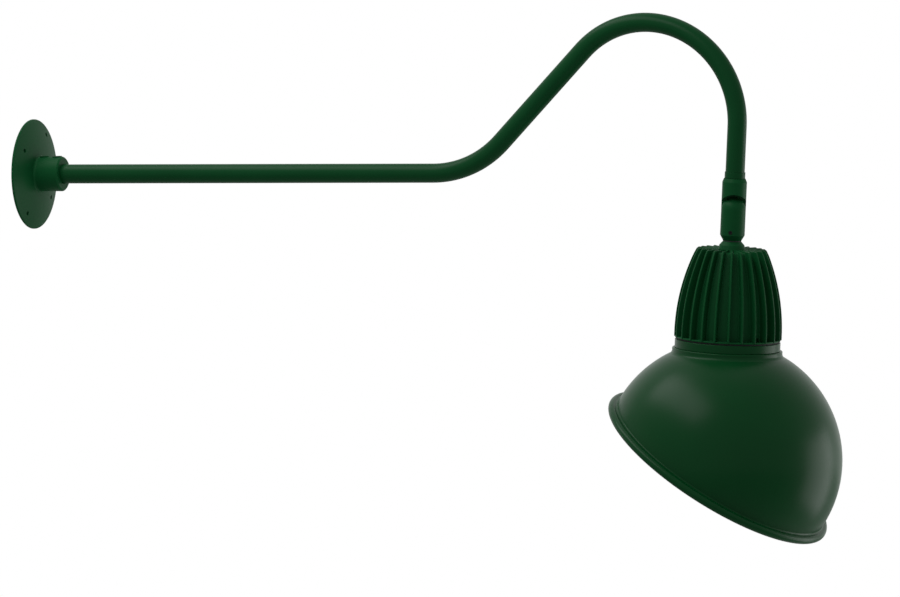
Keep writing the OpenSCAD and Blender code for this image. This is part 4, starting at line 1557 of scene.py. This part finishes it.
@dataclass(frozen=True)
class FinnedHousing:
    """The cast housing, in depths below the pivot: a core, 24 fins and a bottom flange."""

    top: float = 43.6
    roof: float = 46.0
    roof_low: float = 50.0
    boss_top: float = 35.3
    boss_radius: float = 13.8
    neck: float = 10.2
    bore: float = 9.25
    fin_radius: float = 59.3
    curve: float = 224.0
    widest: float = 137.6
    fin_deep: float = 9.0
    fin_thick: float = 2.3
    fin_count: int = 24
    wall: float = 3.5
    flange_top: float = 141.6
    flange_low: float = 143.4
    flange_radius: float = 58.4
    rim_inner: float = 42.0
    rim_top: float = 128.4
    drain_high: float = 4.4
    drain_deep: float = 2.2
    drain_half: float = 4.5
    drain_angles: tuple[float, ...] = (-30.0, -15.0, 90.0, 105.0, 210.0, 225.0)
    roof_fall: float = 3.0
    inner_low: float = 124.4
    ledge: float = 12.5
    crest_turn: float = 6.0
    crest_round: float = 0.8
    root: float = 1.0
    root_fillet: float = 2.2

    def edge(self, depth: Array) -> Array:
        """Radius of the fins' outline: an arc of radius curve that is widest near the flange."""
        up = np.maximum(self.widest - depth, 0.0)
        return self.fin_radius - self.curve + np.sqrt(self.curve**2 - up**2)

    def core(self) -> Surface:
        """The housing without its fins, turned about the lamp's axis.

        Returns:
            The closed surface.
        """
        channel = float(self.edge(np.array(self.roof))) - self.fin_deep
        shoulder = self.roof + self.roof_fall
        second = float(self.edge(np.array(shoulder))) - self.fin_deep
        roof = rounded([
            (self.bore, -self.boss_top, 0.0), (self.neck, -self.boss_top, 0.2),
            (self.boss_radius, -self.boss_top - 4, 1.2), (self.boss_radius + 2, -self.roof, 2.0),
            (channel, -self.roof, 1.5), (second, -shoulder, 0.0),
        ], closed=False, steps=6)
        d = np.linspace(shoulder, self.flange_top, 40)[1:-1]
        side = np.stack([self.edge(d) - self.fin_deep, -d], axis=1)
        foot = rounded([
            (float(self.edge(d[-1])) - self.fin_deep, -d[-1], 0.0),
            (self.fin_radius - self.fin_deep, -self.flange_top, 0.8),
            (self.flange_radius, -self.flange_top, 0.6),
            (self.flange_radius, -self.flange_low, 0.5),
            (self.rim_inner, -self.flange_low, 0.3), (self.rim_inner, -self.rim_top, 0.5),
            (float(self.edge(np.array(self.inner_low))) - self.ledge, -self.inner_low, 0.0),
        ], closed=False)[1:]
        d = np.linspace(self.inner_low, self.roof_low, 24)[1:]
        inside = np.stack([self.edge(d) - self.fin_deep - self.wall, -d], axis=1)
        last = np.array([[self.bore, -self.roof_low]])
        return turned(np.concatenate([roof, side, foot, inside, last]), segments=192)

    def fins(self) -> Surface:
        """All the fins.

        One fin is a section carried along its crest P, which runs out over the roof and down the
        outline. The foot Q lies inside the core, as deep as root: straight below P on the roof and
        straight in from it on the side. A section point of inset t and side y sits at
        P + t (Q - P) / |Q - P|, moved by y across the fin. The crest has round edges and the foot
        has fillets.

        Returns:
            The closed surfaces, 15 degrees apart.
        """
        start, low = float(self.edge(np.array(self.top))) - 0.4, self.top + self.crest_turn
        turn = rounded([
            (self.boss_radius + 1, -self.top, 0.0), (start, -self.top, 2.2),
            (float(self.edge(np.array(low))), -low, 0.0),
        ], closed=False, steps=8)
        d = np.linspace(low, self.flange_top + self.root, 44)[1:]
        side = np.stack([self.edge(d), -d], axis=1)
        roof = np.linspace([self.boss_radius + 1, -self.top], [start - 4, -self.top], 8)[:-1]
        crest = np.concatenate([roof, turn[1:], side])
        depth = np.maximum(-crest[:, 1], self.roof + self.root)
        foot_r = np.minimum(crest[:, 0], self.edge(depth) - self.fin_deep - self.root)
        foot = np.stack([foot_r, -depth], axis=1)
        length = np.linalg.norm(foot - crest, axis=1)
        inward = (foot - crest) / length[:, None]
        half = self.fin_thick / 2
        edge = self.crest_round
        tip = rounded([
            (-half, 5, 0), (-half, 0, edge), (half, 0, edge), (half, 5, 0),
        ], closed=False, steps=5)[1:-1]
        left = rounded([
            (-half - self.root_fillet, 0.9, 0), (-half - 0.15, 1.0, 1.1), (-half - 0.1, 4, 0),
        ], closed=False, steps=4)[:-1]
        y = np.concatenate([left[:, 0], tip[:, 0], -left[::-1, 0]])
        fixed = np.concatenate([-left[:, 1], tip[:, 1], -left[::-1, 1]])
        share = np.concatenate([np.ones(len(left)), np.zeros(len(tip)), np.ones(len(left))])
        inset = np.maximum(fixed + share * length[:, None], 0.0)
        rz = crest[:, None, :] + inset[..., None] * inward[:, None, :]
        grid = np.stack([rz[..., 0], np.broadcast_to(y, inset.shape), rz[..., 1]], axis=-1)
        ends = [np.broadcast_to(row.mean(axis=0), row.shape)[None] for row in (grid[0], grid[-1])]
        fin = sheet(np.concatenate([ends[0], grid, ends[1]]), wrap_columns=True)
        step = 360 / self.fin_count
        every = [spun(fin, step * (k + 0.5)) for k in range(self.fin_count)]
        return every[0].joined(*every[1:])

    def build(self, looks: Finishes) -> list[Item]:
        """Makes the housing, with the drain openings cut before the fins go on.

        Args:
            looks: the finishes.

        Returns:
            The pieces.
        """
        inner = self.fin_radius - self.fin_deep - self.drain_deep
        pocket = block(
            (inner, -self.drain_half, -self.flange_top),
            (inner + self.fin_deep, self.drain_half, self.drain_high - self.flange_top),
        )
        item = mesh_object("housing_casting", self.core(), [looks.cast])
        carved(item, [spun(pocket, a) for a in self.drain_angles])
        mesh = item.data
        flat = np.empty(len(mesh.vertices) * 3)
        mesh.vertices.foreach_get("co", flat)
        loops = [list(p.vertices) for p in mesh.polygons]
        fins = self.fins()
        start = len(mesh.vertices)
        points = np.concatenate([flat.reshape(-1, 3) / MM, fins.points])
        whole = bpy.data.meshes.new("housing_casting")
        faces = loops + (fins.faces + start).tolist()
        whole.from_pydata((HEAD_FRAME.out(points) * MM).tolist(), [], faces)
        whole.materials.append(looks.cast)
        item.data = whole
        tidied(item)
        return [piece(smoothed(item, 38.0), Body.HEAD, "housing", "lamp_housing")]


# ---------------------------------------------------------------- lens ring and frame


@dataclass(frozen=True)
class LensStack:
    """The turned pieces under the housing, as corners of radius, height and rounding."""

    pieces: tuple[tuple[Lathe, str], ...] = (
        (Lathe("neck_washer", Body.HEAD, "seal", "neck_gasket", (
            (9.25, -34.3, 0.0), (10.2, -34.3, 0.2), (10.2, -35.3, 0.2), (9.25, -35.3, 0.0),
        )), "foam"),
        (Lathe("housing_seal", Body.HEAD, "seal", "ring_seal", (
            (52.8, -143.4, 0.2), (56.8, -143.4, 0.3), (57.0, -144.3, 0.3), (56.8, -145.2, 0.3),
            (52.8, -145.2, 0.2),
        )), "seal"),
        (Lathe("smooth_ring", Body.HEAD, "shade", "shade_ring", (
            (52.6, -145.2, 0.3), (58.3, -145.2, 0.7), (58.3, -154.6, 0.6), (52.6, -154.6, 0.2),
            (52.6, -150.45, 0.2), (42.0, -150.45, 0.3), (42.0, -147.45, 0.3), (52.6, -147.45, 0.2),
        ), segments=192), "spun"),
        (Lathe("lens_reflector", Body.HEAD, "reflector", "reflector", (
            (39.5, -150.95, 0.1), (40.3, -150.95, 0.1), (46.0, -156.5, 0.4), (48.8, -156.5, 0.1),
            (48.8, -157.25, 0.1), (45.2, -157.25, 0.4),
        )), "mirror"),
        (Lathe("lens_pane", Body.HEAD, "glass", "lens", (
            (0.0, -157.3, 0.0), (48.0, -157.3, 0.4), (48.0, -161.3, 0.4), (0.0, -161.3, 0.0),
        )), "glass"),
        (Lathe("lens_seal", Body.HEAD, "seal", "lens_gasket", (
            (43.5, -161.3, 0.2), (48.9, -161.3, 0.1), (48.9, -163.1, 0.1), (43.5, -163.1, 0.2),
        )), "seal"),
        (Lathe("lens_bezel", Body.HEAD, "frame", "lens_frame", (
            (49.0, -156.1, 0.2), (58.8, -156.1, 0.2), (58.8, -165.6, 1.0), (43.0, -165.6, 0.9),
            (43.0, -163.1, 0.3), (49.0, -163.1, 0.2),
        ), segments=192), "frame"),
    )
    screw_circle: float = 55.4
    screw_count: int = 6
    screw_first: float = 15.0
    screw_depth: float = 165.6
    screw: Screw = Screw(
        head=2.8, height=1.8, recess=Recess.CROSS, key=0.42, deep=1.3,
        crown=0.5, edge=0.5, shank=1.45, length=17.0,
    )

    def build(self, looks: Finishes) -> list[Item]:
        """Makes the turned pieces and the lens frame's screws.

        Args:
            looks: the finishes.

        Returns:
            The pieces.
        """
        made = [lathe.build(getattr(looks, finish)) for lathe, finish in self.pieces]
        end = (self.screw_circle, 0.0, -self.screw_depth - self.screw.height)
        solid = aimed(self.screw.surface(), end, (0, 0, -1))
        turns = [self.screw_first + k * 360 / self.screw_count for k in range(self.screw_count)]
        solids = [spun(solid, a).moved(HEAD_FRAME) for a in turns]
        return made + [screws("bezel_screws", Body.HEAD, "frame_screws", looks.steel, solids)]


# ---------------------------------------------------------------- shade


@dataclass(frozen=True)
class DomeShade:
    """The spun dome shade: an inward flange, a short neck, a ball-shaped dome, a skirt and a bead.

    The flange and the neck share the lamp's axis, and the dome's axis turns away from it about the
    ball's centre.
    """

    radius: float = 132.28
    sheet: float = 1.5
    angle: float = 31.0
    neck: float = 60.9
    neck_top: float = 154.6
    centre_depth: float = 278.05
    flange_inner: float = 50.0
    skirt: float = 10.4
    bead_middle: float = 134.9
    bead: float = 4.78
    columns: int = 256
    shoulder: float = 1.2
    neck_fillet: float = 6.0
    neck_spread: float = 4.0
    inner_spread: float = 2.0
    crease: float = 2.0
    crease_height: float = -3.63
    crease_turn: tuple[float, float] = (180.0, 275.0)
    bead_turn: tuple[float, float] = (95.0, -211.3)
    white_rows: int = 12

    def neck_rows(self, corners: Sequence[Corner], steps: int) -> Array:
        """Rows about the lamp's axis, from a section of radius and height over the centre."""
        return rings(rounded(corners, closed=False, steps=steps), self.columns)

    def ball_rows(self, radius: float, polar: float, count: int) -> Array:
        """Rows on a ball from a circle about the lamp's axis to one about the dome's own axis.

        Each column follows the great circle between its two end points a and b, which are w apart:
        point = (sin((1 - t) w) a + sin(t w) b) / sin w.

        Args:
            radius: the ball's radius.
            polar: angle of the first circle from the lamp's axis, in radians.
            count: how many rows there are.

        Returns:
            The rows, without the first circle.
        """
        a = circle(self.columns)
        flat = np.stack([np.cos(a), np.sin(a), np.zeros_like(a)], axis=1)
        first = flat * math.sin(polar) + np.array([0.0, 0.0, math.cos(polar)])
        last = Place(turn=self.angle).out(flat)
        w = np.arccos(np.clip((first * last).sum(axis=1), -1, 1))[None, :, None]
        t = np.linspace(0, 1, count)[1:, None, None]
        return radius * (np.sin((1 - t) * w) * first + np.sin(t * w) * last) / np.sin(w)

    def rim_rows(self) -> tuple[Array, int]:
        """Rows about the dome's own axis: skirt, hollow crease, bead and the inner skirt.

        The bead's last rows, white_rows of them, curl up inside the mouth in white.

        Returns:
            The rows in the lamp's frame, and the number of the row where the white inside starts.
        """
        def at(angle: float) -> tuple[float, float]:
            """Point of the bead's circle at an angle in degrees."""
            t = math.radians(angle)
            return self.bead_middle + self.bead * math.cos(t), self.bead * math.sin(t) - self.skirt

        outer, crease, high = self.radius, self.crease, self.crease_height
        turns = np.radians(np.linspace(*self.crease_turn, 12))
        rows = [(outer, -1.6), (outer, -2.8)]
        middle = outer + crease
        rows += [(middle + crease * math.cos(t), high + crease * math.sin(t)) for t in turns]
        rows += [at(a) for a in np.linspace(*self.bead_turn, 54)[1:]]
        white = len(rows) - self.white_rows
        rows += [(outer - self.sheet, -5.0), (outer - self.sheet, -2.5)]
        return Place(turn=self.angle).out(rings(np.array(rows), self.columns)), white

    def surface(self) -> Surface:
        """The whole sheet: outside from the flange down, round the bead, and back up the inside.

        Returns:
            The closed surface in the shared frame, green outside and white inside.
        """
        top = self.centre_depth - self.neck_top
        inner, ball_in = self.neck - self.sheet, self.radius - self.sheet
        under_top = top - self.sheet
        meet, meet_in = math.asin(self.neck / self.radius), math.asin(inner / ball_in)
        on = meet + math.radians(self.neck_spread)
        on_in = meet_in + math.radians(self.inner_spread)
        upper = self.neck_rows([
            (self.flange_inner, under_top, 0.0), (self.flange_inner, top, 0.4),
            (self.neck, top, self.shoulder),
            (self.neck, self.radius * math.cos(meet), self.neck_fillet),
            (self.radius * math.sin(on), self.radius * math.cos(on), 0.0),
        ], steps=12)
        rim, white = self.rim_rows()
        under = self.neck_rows([
            (ball_in * math.sin(on_in), ball_in * math.cos(on_in), 0.0),
            (inner, ball_in * math.cos(meet_in), 1.0), (inner, under_top, 0.8),
            (self.flange_inner + 0.4, under_top, 0.0),
        ], steps=5)
        outside = self.ball_rows(self.radius, on, count=56)
        inside = self.ball_rows(ball_in, on_in, count=40)
        grid = np.concatenate([upper, outside, rim, inside[::-1], under])
        solid = sheet(grid, wrap_rows=True, wrap_columns=True)
        row = np.arange(len(solid.faces)) // self.columns
        start = len(upper) + len(outside) + white
        paint = ((row >= start) & (row < len(grid) - 1)).astype(int)
        drop = Place((0.0, 0.0, -self.centre_depth))
        return Surface(solid.points, solid.faces, paint).moved(drop).moved(HEAD_FRAME)

    def build(self, looks: Finishes) -> list[Item]:
        """Makes the shade.

        Args:
            looks: the finishes.

        Returns:
            The pieces.
        """
        item = mesh_object("dome_shade", self.surface(), [looks.spun, looks.white])
        return [piece(smoothed(item, sharp=50.0), Body.HEAD, "shade", "shade")]


# ---------------------------------------------------------------- CAD nodes that stay


CAD_FINISHES = {
    "lead_bushing": "nylon", "arm_lead_live": "live", "arm_lead_neutral": "neutral",
    "arm_lead_ground": "ground", "swivel_o_ring": "seal", "pivot_spring_washer": "spring",
    "friction_washer": "spring", "pivot_seal": "seal", "neck_nipple": "steel",
    "neck_locknut": "steel", "head_leads": "live", "led_driver": "driver", "driver_screws": "steel",
    "dc_leads": "dc", "engine_plate": "turned", "thermal_pad": "pad", "led_board": "board",
    "led_chips": "chip", "board_screws": "steel", "clamp_screws": "steel",
}


def dress_nodes(looks: Finishes) -> None:
    """Gives every CAD node that is still shown its own finish.

    Args:
        looks: the finishes.
    """
    for name, finish in CAD_FINISHES.items():
        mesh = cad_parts[name].data
        mesh.materials.clear()
        mesh.materials.append(getattr(looks, finish))
        LOG.info("node %s: %s", name, finish)


# ---------------------------------------------------------------- stage


@dataclass(frozen=True)
class Camera:
    """The photograph's camera, far off with a long lens, given by angles in degrees."""

    azimuth: float = 23.0
    elevation: float = 4.3
    roll: float = 1.823
    lens: float = 1000.0
    span: float = 996.3
    right: float = 462.7
    up: float = -138.7
    near: float = 175.0
    shift_x: float = 1.5
    sensor: float = 36.0

    def build(self) -> Item:
        """Places the camera.

        Its right axis is (cos a, sin a, 0), its up axis (-sin a sin e, cos a sin e, cos e) and its
        back axis (sin a cos e, -cos a cos e, sin e), rolled about the last one. It stands where the
        sensor spans the wanted width in the plane that lies near in front of the origin.

        Returns:
            The camera.
        """
        a, e = math.radians(self.azimuth), math.radians(self.elevation)
        right = np.array([math.cos(a), math.sin(a), 0.0])
        up = np.array([-math.sin(a) * math.sin(e), math.cos(a) * math.sin(e), math.cos(e)])
        back = np.array([math.sin(a) * math.cos(e), -math.cos(a) * math.cos(e), math.sin(e)])
        roll = math.radians(self.roll)
        x = right * math.cos(roll) - up * math.sin(roll)
        y = up * math.cos(roll) + right * math.sin(roll)
        distance = self.lens * self.span / self.sensor + self.near
        shift = np.array([self.shift_x, 0, 0])
        spot = (x * self.right + y * self.up + shift + back * distance) * MM
        data = bpy.data.cameras.new("photo_camera")
        data.lens, data.sensor_width = self.lens, self.sensor
        data.clip_start, data.clip_end = 1.0, 200.0
        item = bpy.data.objects.new("photo_camera", data)
        bpy.context.scene.collection.objects.link(item)
        pose = np.eye(4)
        pose[:3, :3] = np.stack([x, y, back], axis=1)
        pose[:3, 3] = spot
        item.matrix_world = Matrix(pose.tolist())
        bpy.context.scene.camera = item
        return item


@dataclass(frozen=True)
class Softbox:
    """A rectangular lamp that faces a point."""

    name: str
    place: Point
    target: Point
    size: tuple[float, float]
    power: float

    def build(self) -> Item:
        """Places the lamp, with its back axis from the target to itself.

        Returns:
            The lamp.
        """
        data = bpy.data.lights.new(self.name, "AREA")
        data.shape = "RECTANGLE"
        data.size, data.size_y = self.size
        data.energy = self.power
        item = bpy.data.objects.new(self.name, data)
        item.visible_camera = False
        bpy.context.scene.collection.objects.link(item)
        back = np.subtract(self.place, self.target)
        back = back / np.linalg.norm(back)
        side = np.cross([0.0, 0.0, 1.0], back)
        side /= np.linalg.norm(side)
        pose = np.eye(4)
        pose[:3, :3] = np.stack([side, np.cross(back, side), back], axis=1)
        pose[:3, 3] = self.place
        item.matrix_world = Matrix(pose.tolist())
        return item


@dataclass(frozen=True)
class Studio:
    """A pale room: a white backdrop, a pale floor and a few softboxes."""

    ambient: float = 0.5
    floor_height: float = -1.6
    floor_size: float = 16.0
    boxes: tuple[Softbox, ...] = (
        Softbox(
            "back_right", place=(2.14, 1.11, -0.63), target=(0.82, 0.0, -0.32),
            size=(1.25, 1.3), power=19.0,
        ),
        Softbox(
            "upper_left", place=(-0.05, -0.75, 1.5), target=(0.82, 0.0, -0.32),
            size=(2.6, 0.85), power=38.0,
        ),
        Softbox(
            "sky", place=(0.4, 0.6, 2.6), target=(0.5, 0.0, 0.0), size=(2.4, 1.6), power=5.0
        ),
    )

    def world(self) -> None:
        """Lights the room evenly, and shows plain white to camera, glossy and transmission rays."""
        world = bpy.data.worlds.new("pale_room")
        bpy.context.scene.world = world
        world.use_nodes = True
        tree = world.node_tree
        tree.nodes.clear()
        output = tree.nodes.new("ShaderNodeOutputWorld")
        room, white = (tree.nodes.new("ShaderNodeBackground") for _ in range(2))
        room.inputs["Color"].default_value = (1.0, 1.0, 1.0, 1.0)
        room.inputs["Strength"].default_value = self.ambient
        white.inputs["Strength"].default_value = 1.0
        white.inputs["Color"].default_value = (1.0, 1.0, 1.0, 1.0)
        path = tree.nodes.new("ShaderNodeLightPath")
        seen = path.outputs["Is Camera Ray"]
        for name in ("Is Glossy Ray", "Is Transmission Ray"):
            most = tree.nodes.new("ShaderNodeMath")
            most.operation = "MAXIMUM"
            tree.links.new(seen, most.inputs[0])
            tree.links.new(path.outputs[name], most.inputs[1])
            seen = most.outputs[0]
        mix = tree.nodes.new("ShaderNodeMixShader")
        tree.links.new(seen, mix.inputs[0])
        tree.links.new(room.outputs[0], mix.inputs[1])
        tree.links.new(white.outputs[0], mix.inputs[2])
        tree.links.new(mix.outputs[0], output.inputs["Surface"])

    def floor(self) -> Item:
        """The floor, well below the light, with a faint mottle.

        Returns:
            The floor.
        """
        half = self.floor_size / 2
        x = np.linspace(-half, half, 9)
        corners = np.meshgrid(x, x, [self.floor_height], indexing="ij")
        grid = np.stack(corners, axis=-1)[:, :, 0] / MM
        look = Look("pale_floor")
        mottle = look.noise(scale=3.0, detail=3.0)
        look.set(Base_Color=look.blend(mottle, (0.8, 0.8, 0.8), (0.84, 0.84, 0.84)), Roughness=0.8)
        mesh = bpy.data.meshes.new("floor")
        surface = sheet(grid)
        mesh.from_pydata((surface.points * MM).tolist(), [], surface.faces.tolist())
        mesh.materials.append(look.material)
        item = link("floor", mesh)
        return item

    def build(self) -> None:
        """Sets up the world, the floor, the lamps and the view's colour handling."""
        self.world()
        self.floor()
        for lamp in self.boxes:
            lamp.build()
        bpy.context.scene.view_settings.view_transform = "Standard"


def main() -> None:
    """Builds the light, the stage and the camera."""
    logging.basicConfig(level=logging.INFO, format="%(name)s: %(message)s")
    looks = Finishes()
    for part in (WallPlate(), GooseneckArm(), Swivel(), FinnedHousing(), LensStack(), DomeShade()):
        for item in part.build(looks):
            LOG.info("%s is done", item.name)
    dress_nodes(looks)
    Studio().build()
    Camera().build()


if __name__ == "__main__":
    main()
